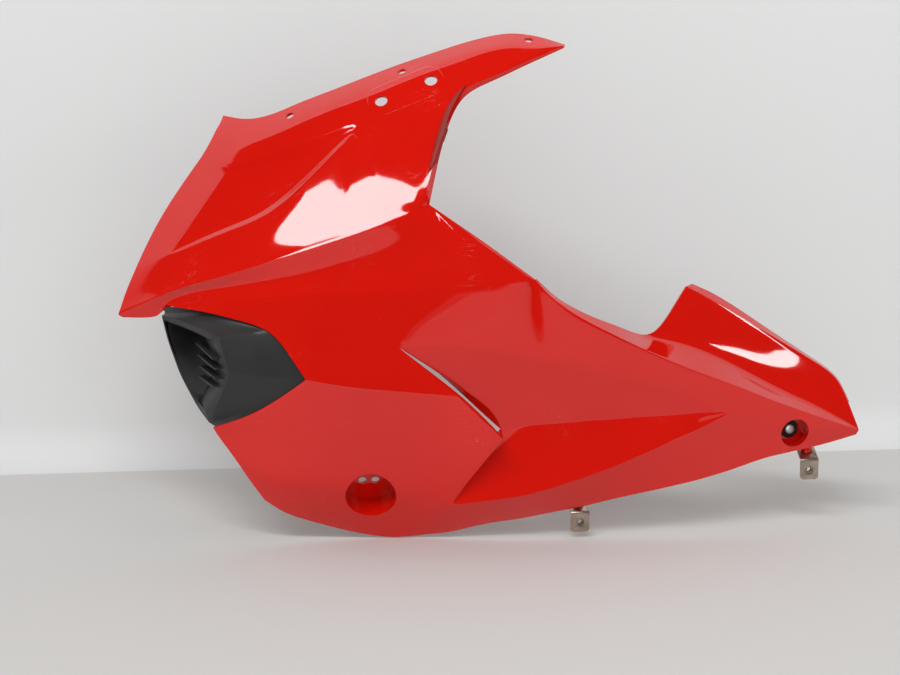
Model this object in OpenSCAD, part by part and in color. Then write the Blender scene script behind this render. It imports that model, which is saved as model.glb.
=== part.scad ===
// Left upper fairing of a sports motorcycle, with its intake duct and fixings.
// Millimetres. +X runs to the rear, +Z is up and the painted face looks along -Y.
// Every line of the panel is a rail of [x, z, relief] points: its place in the side
// view, and how far it lies inside (+) or outside (-) of the plain body form.

/* [Panel] */
// Wall of the moulded panel
wall = 3; // [2.5:0.1:4]
// How far the nose sweeps in towards the headlight
nose_sweep = 185; // [150:5:220]
// Length over which the nose sweeps in
nose_reach = 385; // [375:5:420]
// How far the top edge leans in
top_lean = 72; // [55:1:90]
// How far the tail tucks in
tail_tuck = 40; // [25:1:55]

/* [Openings] */
// Bore for each mirror stud
mirror_bore = 12.5; // [8:0.5:14]
// Bore for each windscreen screw
screen_bore = 9; // [6:0.5:11]
// Mouth of the front fixing cup
front_cup_bore = 50; // [40:1:56]
// Depth of the front fixing cup
front_cup_depth = 25; // [18:1:30]
// Bore for each screw in the front cup
front_screw_bore = 8; // [5:0.5:10]
// Mouth of the rear fixing cup
rear_cup_bore = 30; // [27:1:34]
// Depth of the rear fixing cup
rear_cup_depth = 23; // [16:1:30]

/* [Rear fixing] */
// Bore of the steel sleeve
sleeve_bore = 6.5; // [5:0.1:8]
// Wall of the steel sleeve
sleeve_wall = 1.5; // [1:0.1:2]
// Length of the steel sleeve
sleeve_length = 12; // [10:0.5:16]
// Thickness of the rubber round the sleeve
rubber = 2.5; // [2:0.1:3]
// Height of the grommet's beads on each side of the wall
bead = 2.5; // [1.5:0.1:3]

/* [Duct] */
// Wall of the duct
duct_wall = 2.5; // [2:0.1:3]
// Gap between the duct's flange and the panel
duct_seat = 0.4; // [0.2:0.1:0.8]
// Thickness of the fins in the duct
fin = 2; // [1.5:0.1:3]

/* [Brackets] */
// Width of each bracket
tab_width = 19; // [16:0.5:24]
// Height of the tab below its bend
tab_height = 21; // [18:0.5:26]
// Thickness of the steel
steel = 2; // [1.5:0.1:2.5]
// Thread bore of the nut on each tab
tab_thread = 5; // [4:0.1:6]

/* [Screws] */
// Shank of the small screws
screw_shank = 3.9; // [3:0.1:4.5]
// Head of the small screws
screw_head = 10; // [8:0.5:12]

/* [Hidden] */

red = [0.85, 0.09, 0.02];
black = [0.16, 0.17, 0.17];
steel_grey = [0.66, 0.63, 0.6];
seat_gap = 0.3;
thread_gap = 0.05;

// ---- body form ----

nose_start = 10;
nose_rake = 0.57;
lean_start = 40;
lean_height = 210;
tail_start = 150;
tail_length = 260;

function sq(a) = a * a;
function form(x, z) =
    let (s = max(0, min(0.975, (nose_start - x + nose_rake * z) / nose_reach)))
    nose_sweep * (1 - sqrt(1 - s * s))
    + top_lean * sq(max(0, (z - lean_start) / lean_height))
    + tail_tuck * sq(max(0, (x - tail_start) / tail_length));

function unit(v) = norm(v) < 1e-9 ? 0 * v : v / norm(v);
function inward(x, z) = unit([
    (form(x - 1, z) - form(x + 1, z)) / 2,
    1,
    (form(x, z - 1) - form(x, z + 1)) / 2
]);

// A rail point may carry a fourth value: how much its inner skin steps in front of the riser
riser_turn = [-0.78, 0, 0.63];
function full(q) = [q[0], q[1], q[2], len(q) > 3 ? q[3] : 0];
function place(q, deep = 0) =
    [q[0], form(q[0], q[1]) + q[2], q[1]]
    + inward(q[0], q[1]) * deep
    + (len(q) > 3 ? riser_turn * q[3] * deep : [0, 0, 0]);

// ---- rails: smooth curves that break only at sharp corners ----

corner = 0.78;
function heading(p, i) =
    let (back = i > 0 ? p[i] - p[i - 1] : p[i + 1] - p[i],
        ahead = i < len(p) - 1 ? p[i + 1] - p[i] : back)
    unit(unit(back) * norm(ahead) + unit(ahead) * norm(back));
function sharp(p, i) =
    i > 0 && i < len(p) - 1 && unit(p[i] - p[i - 1]) * unit(p[i + 1] - p[i]) < corner;
function bend(a, b, ta, tb, t) =
    let (l = norm(b - a))
    a * (1 - t) * (1 - t) * (1 + 2 * t) + b * t * t * (3 - 2 * t)
    + ta * l * t * (1 - t) * (1 - t) - tb * l * t * t * (1 - t);
function rail(points, steps) =
    let (p = [for (q = points) full(q)], last = len(p) - 1)
    [
        for (i = [0:last - 1])
            let (run = unit(p[i + 1] - p[i]),
                ta = sharp(p, i) ? run : heading(p, i),
                tb = sharp(p, i + 1) ? run : heading(p, i + 1))
            for (s = [0:steps[i] - 1])
                s == 0 ? p[i] : bend(p[i], p[i + 1], ta, tb, s / steps[i]),
        p[last]
    ];

// ---- panels: rows of points between rails ----

function blend(a, b, t) = t == 0 ? a : a + (b - a) * t;
function panel(rails, rows) = [
    for (j = [0:len(rows) - 1], t = [0:rows[j] - 1])
        [for (i = [0:len(rails[j]) - 1]) blend(rails[j][i], rails[j + 1][i], t / rows[j])],
    rails[len(rails) - 1]
];
function side(sheet, i) = [for (row = sheet) row[i]];
function right_of(sheet) = side(sheet, len(sheet[0]) - 1);
function left_of(sheet) = turned(side(sheet, 0));
function foot_of(sheet) = turned(sheet[len(sheet) - 1]);
function turned(line) = [for (i = [len(line) - 1:-1:0]) line[i]];
function part(list, from, to) = [for (i = [from:to]) list[i]];
function mix(a, b, share) = [for (i = [0:len(a) - 1]) a[i] + (b[i] - a[i]) * share];

function triangle(a, b, c) = (a == b || b == c || c == a) ? [] : [[a, b, c]];
function quad(a, b, c, d) = concat(triangle(a, b, c), triangle(a, c, d));
function skins(sheet, deep) =
    let (out = [for (row = sheet) [for (q = row) place(q)]],
        in = [for (row = sheet) [for (q = row) place(q, deep)]])
    [
        for (j = [0:len(sheet) - 2], i = [0:len(sheet[0]) - 2])
            each concat(
                quad(out[j][i], out[j][i + 1], out[j + 1][i + 1], out[j + 1][i]),
                quad(in[j][i], in[j + 1][i], in[j + 1][i + 1], in[j][i + 1]))
    ];
function rim(line, deep) = [
    for (i = [0:len(line) - 2])
        each quad(place(line[i], deep), place(line[i + 1], deep), place(line[i + 1]), place(line[i]))
];

module mesh(triangles) {
    polyhedron(
        points = [for (t = triangles) each t],
        faces = [for (i = [0:len(triangles) - 1]) [3 * i, 3 * i + 1, 3 * i + 2]],
        convexity = 8);
}

// ---- rails of the upper panel ----

upper_steps = [1, 2, 2, 2, 2, 6, 2, 2, 1, 3, 2, 3, 3];
top_edge = [[-219, 216, 6], [-206, 214, 7], [-191, 214, 9], [-171, 219, 12], [-145, 230, 14],
    [-108, 247, 16], [-74, 263, 17], [-44, 272, 17], [-17, 277, 17], [11, 286, 17],
    [40, 294, 16], [68, 299, 15], [97, 295, 13], [123, 287, 9]];
top_bend = [[-228, 202, 0], [-213, 197, 0], [-194, 196, 0], [-172, 203, 0], [-145, 215, 0],
    [-108, 232, 0], [-75, 246, 0], [-45, 257, 0], [-18, 265, 0], [10, 273, 0],
    [37, 282, 0], [65, 287, 0], [93, 283, 0], [118, 284, 3]];
arrow_top = [[-242, 176, 0], [-217, 168, 0], [-192, 177, 0], [-162, 189, 0], [-130, 199, 0], [-96, 211, 0]];
arrow_top_floor = [[-244, 172, 0], [-217, 166, 1], [-190, 170, 4], [-156, 176, 6], [-126, 184, 5], [-96, 208, 2]];
arrow_low_floor = [[-309, 66, 0], [-274, 86, 1], [-224, 110, 5], [-183, 128, 6], [-136, 167, 5], [-95, 206, 2]];
arrow_low = [[-313, 61, 0], [-277, 82, 0], [-223, 107, 0], [-179, 126, 0], [-134, 165, 0], [-93, 205, 0]];
hook_bend = [[-325, 30, 0], [-294, 46, 0], [-264, 60, -2], [-225, 75, -4], [-181, 91, -4],
    [-123, 112, -4], [-71, 129, -4], [-43, 137, -3], [-30, 141, 0], [-30, 152, 0],
    [-15, 203, 0], [3, 238, 1], [51, 259, 2], [115, 284, 4]];
ridge = [[-329, 21, 0], [-297, 39, -1], [-267, 53, -3], [-225, 67, -6], [-179, 83, -7],
    [-121, 102, -7], [-68, 120, -5], [-40, 131, -2], [-24, 137, 6]];
hook_edge = [[-23, 151, 8], [-8, 205, 8], [10, 236, 8], [55, 257, 8], [121, 285, 8]];

// Behind the arrow's tip the rows fan out between the top bend and the hook
function fan(points, share) = concat(points,
    [for (i = [len(points):len(top_bend) - 1]) mix(top_bend[i], hook_bend[i], share)]);

// ---- rails of the scoop and the middle ----

scoop_steps = [1, 2, 2, 2, 2, 6, 2, 2, 2, 1];
shoulder = [[-324, 19, 6], [-290, 20, 15], [-282, 35, 8], [-213, 45, 1], [-175, 49, 0], [-141, 52, 0],
    [-55, 57, 0], [-7, 60, 0], [37, 62, 0], [69, 64, 0], [77, 65, 6]];
scoop_floor = [[-327, 20, 3], [-294, 29, 8], [-275, 43, 6], [-220, 56, 9], [-178, 64, 12], [-128, 74, 14],
    [-63, 88, 14], [-26, 95, 12], [0, 99, 10], [20, 101, 9], [27, 102, 14]];
spike_mid = [[-281, 35, 8], [-213, 37, 0], [-175, 33, 0], [-143, 8, -1], [-58, 2, -1]];
spike_edge = [[-279, 34, 8], [-238, 31, 2], [-178, 17, 0]];
duct_edge = [[-237, -79, 0], [-201, -66, 2], [-170, -47, 0]];
middle = [[-147, -30, -2], [-100, -37, -4], [-52, -40, -6], [-8, -46, -8]];
vent_tip = [43, -89, -12, 1];

// ---- rails of the front belly ----

belly_steps = [2, 2, 2, 2, 2, 2, 3];
knee = [[-232, -88, 4], [-202, -92, 7], [-168, -102, 9], [-139, -110, 10], [-105, -115, 10],
    [-66, -119, 8], [-27, -124, 4], [18, -123, -4, 1]];
band = [[-219, -106, 8], [-190, -124, 10], [-158, -129, 11], [-129, -132, 12], [-100, -136, 12],
    [-64, -138, 10], [-28, -140, 7], [5, -141, 2, 1]];
chin = [[-202, -133, 15], [-177, -144, 18], [-150, -149, 20], [-124, -153, 21], [-95, -157, 21],
    [-61, -159, 19], [-29, -159, 14], [-7, -159, 8]];
front_edge = [[-188, -154, 24], [-168, -169, 32], [-143, -179, 38], [-119, -187, 41], [-89, -195, 42],
    [-59, -199, 40], [-29, -196, 36], [-4, -193, 31]];

// ---- rails of the rear, from the crest down to the lower edge ----

rear_steps = [2, 2, 2, 1, 2, 2, 2, 2, 2];
crest = [[90, 50, 0], [120, 28, 0], [150, 12, 0], [186, -6, 0], [232, -27, 0]];
tail_steps = [2, 2, 2, 2];
tail_crest = [[232, -27, 0], [280, -46, 0], [329, -67, 0], [375, -85, 0], [420, -102, 0]];
wedge_top = [[-58, 2, -1], [-17, 2, 0], [17, 0, 0], [47, -5, 0], [81, -12, 0],
    [111, -17, 0], [141, -24, 0], [181, -35, 0], [228, -52, 0], [277, -73, 0]];
wedge_face = [[-6, -33, 8], [21, -37, 8], [46, -40, 8], [68, -43, 8], [93, -45, 7],
    [117, -48, 6], [145, -50, 5], [182, -55, 4], [225, -62, 2], [277, -73, 0]];
valley = [[46, -86, 14, 1], [69, -82, 14], [89, -81, 13], [109, -80, 12], [134, -78, 11],
    [159, -77, 9], [183, -75, 7], [216, -74, 5], [249, -72, 2], [277, -73, 0]];
lower_face = [[22, -121, 13, 1], [47, -113, 11], [70, -108, 10], [94, -103, 9], [122, -99, 8],
    [152, -94, 6], [183, -88, 5], [217, -81, 3], [249, -76, 1], [277, -73, 0]];
lower_fold = [[9, -139, 10, 1], [41, -133, 8], [67, -129, 6], [93, -123, 5], [122, -116, 4],
    [152, -109, 3], [183, -99, 2], [216, -90, 1], [249, -80, 1], [277, -73, 0]];
lower_ridge = [[-7, -159, 8], [33, -154, 3], [62, -150, 0], [92, -143, -1], [122, -134, -1],
    [152, -124, -1], [182, -112, -1], [215, -100, 0], [249, -85, 0], [277, -73, 0]];
rear_edge = [[-4, -193, 31], [36, -183, 25], [66, -179, 22], [96, -173, 20], [126, -168, 18],
    [156, -161, 17], [187, -155, 16], [219, -149, 14], [254, -142, 13], [286, -134, 12]];
tail_line = [[277, -73, 0], [316, -77, 0], [349, -91, 1], [382, -99, 1], [420, -103, 0]];
tail_edge = [[286, -134, 12], [318, -125, 11], [351, -120, 9], [382, -115, 6], [418, -107, 1]];

// ---- rails of the channel and the flap over the frame ----

channel_steps = [2, 2, 2, 2, 2, 2, 2, 2, 2];
channel_edge = [[79, 65, 8], [98, 47, 8], [131, 28, 12], [162, 15, 20], [195, 1, 33],
    [234, -5, 34], [290, -34, 29], [337, -60, 21], [381, -80, 11], [421, -103, 1]];
flap_steps = [2, 2, 2, 2, 2];
flap_fold = [[210, 9, 37], [243, 3, 38], [299, -29, 35], [349, -54, 28], [391, -74, 18], [421, -101, 3]];
flap_top = [[239, 48, 50], [262, 36, 49], [315, 4, 46], [373, -31, 40], [407, -54, 30], [412, -76, 15]];
flap_return = [[248, 49, 60], [272, 38, 60], [324, 4, 56], [382, -31, 50], [416, -55, 38], [419, -77, 20]];

function tail_end(list) = len(list) - 1;
function join(a, b) = concat(a, part(b, 1, tail_end(b)));

function belly_sheet() =
    let (
        seam_line = rail(concat(duct_edge, [middle[0]]), [2, 2, 2]),
        vent_line = rail([middle[3], vent_tip], [3]))
    panel([
        join(join(seam_line, rail(middle, [2, 2, 2])), vent_line), rail(knee, belly_steps),
        rail(band, belly_steps), rail(chin, belly_steps), rail(front_edge, belly_steps)], [3, 1, 2, 3]);
function crest_rail() = rail(concat([shoulder[10]], crest, part(tail_crest, 1, 4)), channel_steps);
crest_end = 10;
function tail_sheet() =
    let (line = crest_rail())
    panel([
        part(line, crest_end, tail_end(line)),
        rail(tail_line, tail_steps), rail(tail_edge, tail_steps)], [2, 3]);
function block(sheet, deep) = concat(
    skins(sheet, deep), rim(sheet[0], deep), rim(right_of(sheet), deep),
    rim(foot_of(sheet), deep), rim(left_of(sheet), deep));

function panel_triangles(deep) =
    let (
        hook = rail(concat(ridge, hook_edge), upper_steps),
        upper = panel([
            rail(top_edge, upper_steps), rail(top_bend, upper_steps),
            rail(fan(arrow_top, 0.2), upper_steps), rail(fan(arrow_top_floor, 0.35), upper_steps),
            rail(fan(arrow_low_floor, 0.65), upper_steps), rail(fan(arrow_low, 0.8), upper_steps),
            rail(hook_bend, upper_steps), hook], [2, 2, 1, 3, 1, 2, 1]),
        ridge_end = 19,
        shoulder_line = rail(shoulder, scoop_steps),
        closed_end = [for (i = [ridge_end:len(shoulder_line) - 2]) hook[ridge_end]],
        scoop = panel([
            concat(part(hook, 0, ridge_end), closed_end),
            rail(scoop_floor, scoop_steps), shoulder_line], [3, 3]),
        spike_start = 3,
        spike_end = 15,
        middle_line = rail(middle, [2, 2, 2]),
        spike_line = rail(concat(spike_edge, [middle[0]]), [2, 2, 2]),
        flank = panel([
            part(shoulder_line, spike_start, spike_end), rail(spike_mid, [2, 2, 2, 6]),
            join(spike_line, middle_line)], [2, 3]),
        belly = belly_sheet(),
        seam_end = 6,
        vent_start = 12,
        crest_line = crest_rail(),
        wedge_top_line = rail(wedge_top, rear_steps),
        valley_line = rail(valley, rear_steps),
        lower_line = rail(lower_ridge, rear_steps),
        wing = panel([
            join(part(shoulder_line, spike_end, tail_end(shoulder_line)), part(crest_line, 0, crest_end)),
            wedge_top_line], [2]),
        wedge = panel([wedge_top_line, rail(wedge_face, rear_steps), valley_line], [2, 2]),
        lower = panel([
            valley_line, rail(lower_face, rear_steps), rail(lower_fold, rear_steps), lower_line], [3, 1, 2]),
        skirt = panel([lower_line, rail(rear_edge, rear_steps)], [3]),
        riser_rows = 6,
        riser = panel([side(lower, 0), part(side(belly, tail_end(belly[0])), 0, riser_rows)], [2]),
        tail = tail_sheet(),
        channel_line = rail(channel_edge, channel_steps),
        channel = panel([channel_line, crest_line], [3]),
        fold_start = 8,
        flap = panel([
            rail(flap_return, flap_steps), rail(flap_top, flap_steps), rail(flap_fold, flap_steps),
            part(channel_line, fold_start, tail_end(channel_line))], [1, 2, 1]),
        sheets = [upper, scoop, flank, belly, wing, wedge, lower, skirt, riser, tail, channel, flap],
        free_edges = [
            upper[0], right_of(upper), turned(part(hook, ridge_end, tail_end(hook))), right_of(scoop),
            left_of(channel), part(channel_line, 0, fold_start), left_of(flap), flap[0], right_of(flap),
            right_of(channel), right_of(tail), foot_of(tail), foot_of(skirt), foot_of(belly), left_of(belly),
            part(belly[0], 0, seam_end), turned(spike_line), left_of(flank), turned(part(shoulder_line, 0, spike_start)),
            left_of(scoop), left_of(upper),
            part(belly[0], vent_start, tail_end(belly[0])), left_of(riser), left_of(wedge), part(right_of(flank), 2, 5)]
    )
    concat([for (sheet = sheets) each skins(sheet, deep)], [for (edge = free_edges) each rim(edge, deep)]);

// ---- places on the panel ----

// The two cups: the places of their mouths, and how far the front one looks down
rear_cup_at = [348, -100, 3.5];
front_cup_at = [-84, -150, 17];
front_cup_tilt = 26;
front_hole_pitch = 13;
mirror_at = [[-65, 234, 0], [-15, 254, 0]];
// Each windscreen screw: the stretch of the flange it stands on, and its share along and across
screen_at = [[3, 0.65, 0.5], [7, 0.1, 0.5], [11, 0.7, 0.4]];
cutter = 60;

rear_mouth = place(rear_cup_at);
rear_floor = rear_mouth[1] + rear_cup_depth;
sleeve_outer = sleeve_bore + 2 * sleeve_wall;
grommet_bore = sleeve_outer + 2 * rubber;
datum = [rear_mouth[0], rear_floor + wall / 2, rear_mouth[2]];

module in_frame() {
    translate(-datum) children();
}

// Looks inward along +Y, tilted to look out and down
module into_panel(point, tilt = 0) {
    translate(point) rotate([tilt - 90, 0, 0]) children();
}

// Stands square on the body form
module square_to_form(q) {
    n = inward(q[0], q[1]);
    translate(place(q)) rotate([0, acos(n[2]), atan2(n[1], n[0])]) children();
}

// Stands square on the flange, between its edge and its bend
module on_flange(spot) {
    i = spot[0];
    edge = mix(top_edge[i], top_edge[i + 1], spot[1]);
    n = unit(cross(place(top_edge[i]) - place(top_bend[i]), place(top_bend[i + 1]) - place(top_bend[i])));
    translate(place(mix(edge, mix(top_bend[i], top_bend[i + 1], spot[1]), spot[2])))
        rotate([0, acos(n[2]), atan2(n[1], n[0])]) children();
}

// ---- lugs that carry the brackets, each square to its bracket's upper leg ----

lug_d = 11;
lug_reach = 14;
bend_r = 1;
// Each bracket hangs from a place on the lower edge: its drop below it, and the rise of its leg
front_lug = [lower_ridge[4], rear_edge[4]];
rear_lug = [mix(tail_line[2], tail_line[3], 0.5), mix(tail_edge[2], tail_edge[3], 0.5)];
front_drop = 4;
rear_drop = 12;
front_rise = 14;
rear_rise = 28;
lug_height = 14;

// Stands on the bend of a bracket, turned with its upper leg; its top face is at z = 0
module on_leg(lug, drop, rise) {
    translate(place(lug[1]) - [0, steel, drop]) rotate([rise, 0, 0]) children();
}

module lug(lug, drop, rise) {
    low = place(mix(lug[0], lug[1], 0.85), wall / 2);
    high = place(mix(lug[0], lug[1], 0.3), wall / 2);
    foot = place(lug[1]) + [0, lug_reach * cos(rise), lug_reach * sin(rise) - drop];
    top = foot + [0, -lug_height * sin(rise), lug_height * cos(rise)];
    on_leg(lug, drop, rise) translate([0, lug_reach, seat_gap]) cylinder(d = lug_d, h = lug_height, $fn = 28);
    translate([foot[0] - wall, 0, 0]) rotate([90, 0, 90]) linear_extrude(2 * wall)
        polygon([[low[1], low[2]], [foot[1], foot[2] + wall], [top[1], top[2] - 1], [high[1], high[2]]]);
}
module lug_pilot(lug, drop, rise) {
    on_leg(lug, drop, rise) translate([0, lug_reach, seat_gap - 1])
        cylinder(d = screw_shank + 2 * thread_gap, h = lug_height - 1, $fn = 24);
}

// ---- screw places round the duct and at the nose ----

duct_screw_at = [[-173, 25, 0], [-142, -15, -1.7], [-153, -47, -0.5], [-197, -73, 3.2]];
stud_d = 6;
pilot_gap = 0.05;
duct_screw_shank = 2.4;
duct_screw_depth = 4.5;
stud_height = duct_seat + duct_wall + 1;
nose_screw_spot = [-281.5, 33];
nose_screw_inset = 18.5;
nose_screw_at = [nose_screw_spot[0],
    form(nose_screw_spot[0], nose_screw_spot[1]) + nose_screw_inset, nose_screw_spot[1]];
nose_web_at = [-281.5, 42, 6];
nose_boss_d = 8;
nose_boss_height = 20;
nose_screw_depth = 8;
nose_screw_shank = 2.9;

module fairing_shell() {
    in_frame() color(red) difference() {
        union() {
            difference() {
                mesh(panel_triangles(wall));
                into_panel(rear_mouth) cylinder(d = rear_cup_bore, h = cutter, center = true, $fn = 64);
                into_panel(place(front_cup_at), front_cup_tilt)
                    cylinder(d = front_cup_bore, h = cutter, center = true, $fn = 64);
            }
            rear_cup();
            front_cup();
            lug(front_lug, front_drop, front_rise);
            lug(rear_lug, rear_drop, rear_rise);
            for (q = duct_screw_at) square_to_form(q)
                translate([0, 0, wall / 2]) cylinder(d = stud_d, h = wall / 2 + stud_height, $fn = 24);
            nose_boss();
        }
        into_panel([rear_mouth[0], rear_floor - 1, rear_mouth[2]])
            cylinder(d = grommet_bore, h = wall + 2, $fn = 64);
        for (side = [-1, 1]) into_panel(place(front_cup_at), front_cup_tilt)
            translate([side * front_hole_pitch / 2, 0, front_cup_depth - 1])
                cylinder(d = front_screw_bore, h = wall + 2, $fn = 24);
        for (q = mirror_at) square_to_form(q) cylinder(d = mirror_bore, h = cutter / 3, center = true, $fn = 64);
        for (spot = screen_at) on_flange(spot) cylinder(d = screen_bore, h = 5 * wall, center = true, $fn = 24);
        lug_pilot(front_lug, front_drop, front_rise);
        lug_pilot(rear_lug, rear_drop, rear_rise);
        for (q = duct_screw_at) square_to_form(q)
            translate([0, 0, wall + stud_height - duct_screw_depth])
                cylinder(d = duct_screw_shank + 2 * pilot_gap, h = duct_screw_depth + 1, $fn = 24);
        translate(nose_screw_at - [0, 0, 1])
            cylinder(d = nose_screw_shank + 2 * pilot_gap, h = nose_screw_depth + 1, $fn = 24);
    }
}

module nose_boss() {
    root = place(nose_web_at, wall / 2);
    translate(nose_screw_at) cylinder(d = nose_boss_d, h = nose_boss_height, $fn = 24);
    translate([root[0] - wall / 2, root[1], nose_screw_at[2] + wall])
        cube([wall, nose_screw_at[1] - root[1] - nose_boss_d / 4, nose_boss_height - wall]);
}

module rear_cup() {
    difference() {
        intersection() {
            translate([rear_mouth[0], rear_floor + wall, rear_mouth[2]]) rotate([90, 0, 0])
                cylinder(d = rear_cup_bore + 2 * wall, h = rear_cup_depth + 3 * wall, $fn = 64);
            mesh(block(tail_sheet(), rear_cup_depth + 6 * wall));
        }
        translate([rear_mouth[0], rear_floor, rear_mouth[2]]) rotate([90, 0, 0])
            cylinder(d = rear_cup_bore, h = cutter, $fn = 64);
    }
}

module front_cup() {
    difference() {
        intersection() {
            into_panel(place(front_cup_at), front_cup_tilt) translate([0, 0, -cutter / 2])
                cylinder(d = front_cup_bore + 2 * wall, h = cutter / 2 + front_cup_depth + wall, $fn = 64);
            mesh(block(belly_sheet(), front_cup_depth + 8 * wall));
        }
        into_panel(place(front_cup_at), front_cup_tilt) translate([0, 0, front_cup_depth - cutter])
            cylinder(d = front_cup_bore, h = cutter, $fn = 64);
    }
}

// ---- intake duct: one closed loft of rings; a fourth value of 1 tucks a point under the panel ----

mouth_outer = [[-286, 21, 30, 0], [-267, 20, 16, 0], [-248, 15, 0, 0], [-229, 10, -12, 0],
    [-225, -8, -9, 0], [-221, -27, -6, 0], [-227, -44, 2, 0], [-234, -61, 10, 0],
    [-241, -78, 19, 0], [-252, -67, 36, 0], [-268, -39, 45, 0], [-280, -5, 37, 0]];
mouth_inner = [[-283, 16, 32, 0], [-266, 14, 19, 0], [-249, 10, 5, 0], [-233, 4, -6, 0],
    [-229, -11, -3, 0], [-225, -28, 0, 0], [-230, -42, 6, 0], [-237, -54, 14, 0],
    [-245, -66, 22, 0], [-252, -60, 36, 0], [-266, -36, 44, 0], [-278, -6, 38, 0]];
duct_seam = [[-283, 22, 40, 0], [-238, 31, 2, 1], [-208, 25, 1, 1], [-178, 17, 0, 1],
    [-162, -6, -1, 1], [-147, -30, -2, 1], [-170, -47, 0, 1], [-201, -66, 2, 1],
    [-235, -79, 1, 1], [-251, -68, 58, 0], [-267, -42, 60, 0], [-280, -5, 48, 0]];
duct_tip = [[-284, 27, 44, 0], [-236, 39, 1, 1], [-204, 38, 0, 1], [-168, 29, 0, 1],
    [-148, 4, -1, 1], [-133, -31, -3, 1], [-162, -61, 2, 1], [-193, -80, 5, 1],
    [-226, -84, 4, 1], [-247, -72, 66, 0], [-265, -44, 66, 0], [-282, -4, 54, 0]];
// Inside, the throat narrows from the front edge, and the outlet turns to the rear behind it
throat = [[-281, 10, 50, 0], [-270, 9, 42, 0], [-259, 7, 37, 0], [-248, 4, 33, 0],
    [-246, -12, 34, 0], [-244, -28, 36, 0], [-246, -42, 40, 0], [-250, -52, 44, 0],
    [-255, -60, 50, 0], [-262, -56, 58, 0], [-272, -34, 60, 0], [-281, -6, 54, 0]];
outlet = [[-219, -5, 128, 0], [-206, -8, 127, 0], [-190, -13, 126, 0], [-173, -19, 125, 0],
    [-171, -35, 128, 0], [-169, -51, 131, 0], [-173, -66, 135, 0], [-178, -80, 139, 0],
    [-185, -90, 143, 0], [-200, -79, 146, 0], [-212, -58, 145, 0], [-220, -32, 138, 0]];
outlet_middle = [-193, -49, 0, 0];
throat_middle = [-263, -26, 0, 0];
tip_gap = 0.8;
fold_depth = 5;

function around(ring, steps) = [
    for (i = [0:len(ring) - 1], s = [0:steps - 1])
        mix(ring[i], ring[(i + 1) % len(ring)], s / steps)
];
function ring_at(ring, deep) = [
    for (q = around(ring, 2)) place([q[0], q[1], q[2]], q[3] * (wall + duct_seat) + deep)
];
function grown(ring, middle, by) = [
    for (q = ring)
        let (out = unit([q[0] - middle[0], q[1] - middle[1]]))
        [q[0] + by * out[0], q[1] + by * out[1], q[2], q[3]]
];
function lofted(rings) =
    let (turns = len(rings), round = len(rings[0]))
    [
        for (j = [0:turns - 1], i = [0:round - 1])
            let (a = rings[j], b = rings[(j + 1) % turns], k = (i + 1) % round)
            each quad(a[i], b[i], b[k], a[k])
    ];

// Fins on the inner wall by the front edge: each runs from the mouth up to the throat
fin_count = 4;
fin_height = 7;
fin_root = 1.2;
mouth_start = 1.12;
mouth_step = 0.58;
throat_start = 0.39;
throat_step = 0.72;
function wall_at(ring, s) =
    let (i = 3 + floor(s))
    mix(place(ring[i]), place(ring[i + 1]), s - floor(s));
module fin_blade(k) {
    mouth_end = wall_at(mouth_inner, mouth_start + mouth_step * k);
    throat_end = wall_at(throat, throat_start + throat_step * k);
    low = mix(mouth_end, throat_end, 0.08);
    high = mix(mouth_end, throat_end, 0.95);
    across = unit(cross(high - low, [0, 0, 1]));
    lift = across * sign(across * (place(throat_middle) + [0, 60, 0] - low));
    thick = unit(cross(high - low, lift)) * fin / 2;
    corners = [low - lift * fin_root, high - lift * fin_root, high + lift * fin_height, low + lift * fin_height];
    left = [for (c = corners) c - thick];
    right = [for (c = corners) c + thick];
    mesh(concat(
        quad(left[0], left[1], left[2], left[3]), quad(right[3], right[2], right[1], right[0]),
        [for (i = [0:3]) each quad(left[i], right[i], right[(i + 1) % 4], left[(i + 1) % 4])]));
}

module intake_duct() {
    in_frame() color(black) difference() {
        union() {
            mesh(lofted([
                ring_at(mouth_inner, 0), ring_at(mouth_outer, 0), ring_at(duct_seam, 0),
                ring_at(duct_tip, tip_gap), ring_at(duct_tip, tip_gap + duct_wall),
                ring_at(duct_seam, duct_wall),
                ring_at([for (i = [0:11]) mix(mouth_outer[i], mouth_inner[i], 0.5)], fold_depth),
                ring_at(grown(throat, throat_middle, duct_wall), 0),
                ring_at(grown(outlet, outlet_middle, duct_wall), 0), ring_at(outlet, 0),
                ring_at(throat, 0)]));
            for (k = [0:fin_count - 1]) fin_blade(k);
        }
        for (q = duct_screw_at) square_to_form(q)
            cylinder(d = stud_d + 2 * seat_gap, h = cutter, center = true, $fn = 24);
    }
}

// ---- rear fixing ----

module rear_grommet() {
    in_frame() color(black) into_panel([rear_mouth[0], rear_floor + wall / 2, rear_mouth[2]])
        rotate_extrude($fn = 48) polygon([
            [sleeve_outer / 2, -wall / 2 - bead],
            [grommet_bore / 2 + rubber - bead / 3, -wall / 2 - bead],
            [grommet_bore / 2 + rubber, -wall / 2 - bead * 2 / 3],
            [grommet_bore / 2 + rubber, -wall / 2],
            [grommet_bore / 2, -wall / 2],
            [grommet_bore / 2, wall / 2],
            [grommet_bore / 2 + rubber, wall / 2],
            [grommet_bore / 2 + rubber, wall / 2 + bead * 2 / 3],
            [grommet_bore / 2 + rubber - bead / 3, wall / 2 + bead],
            [sleeve_outer / 2, wall / 2 + bead]
        ]);
}

module rear_sleeve() {
    in_frame() color(steel_grey) into_panel([rear_mouth[0], rear_floor + wall / 2, rear_mouth[2]])
        difference() {
            cylinder(d = sleeve_outer, h = sleeve_length, center = true, $fn = 48);
            cylinder(d = sleeve_bore, h = sleeve_length + 2, center = true, $fn = 48);
        }
}

// ---- brackets: a bent tab under the lower edge, screwed up into its lug ----

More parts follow.
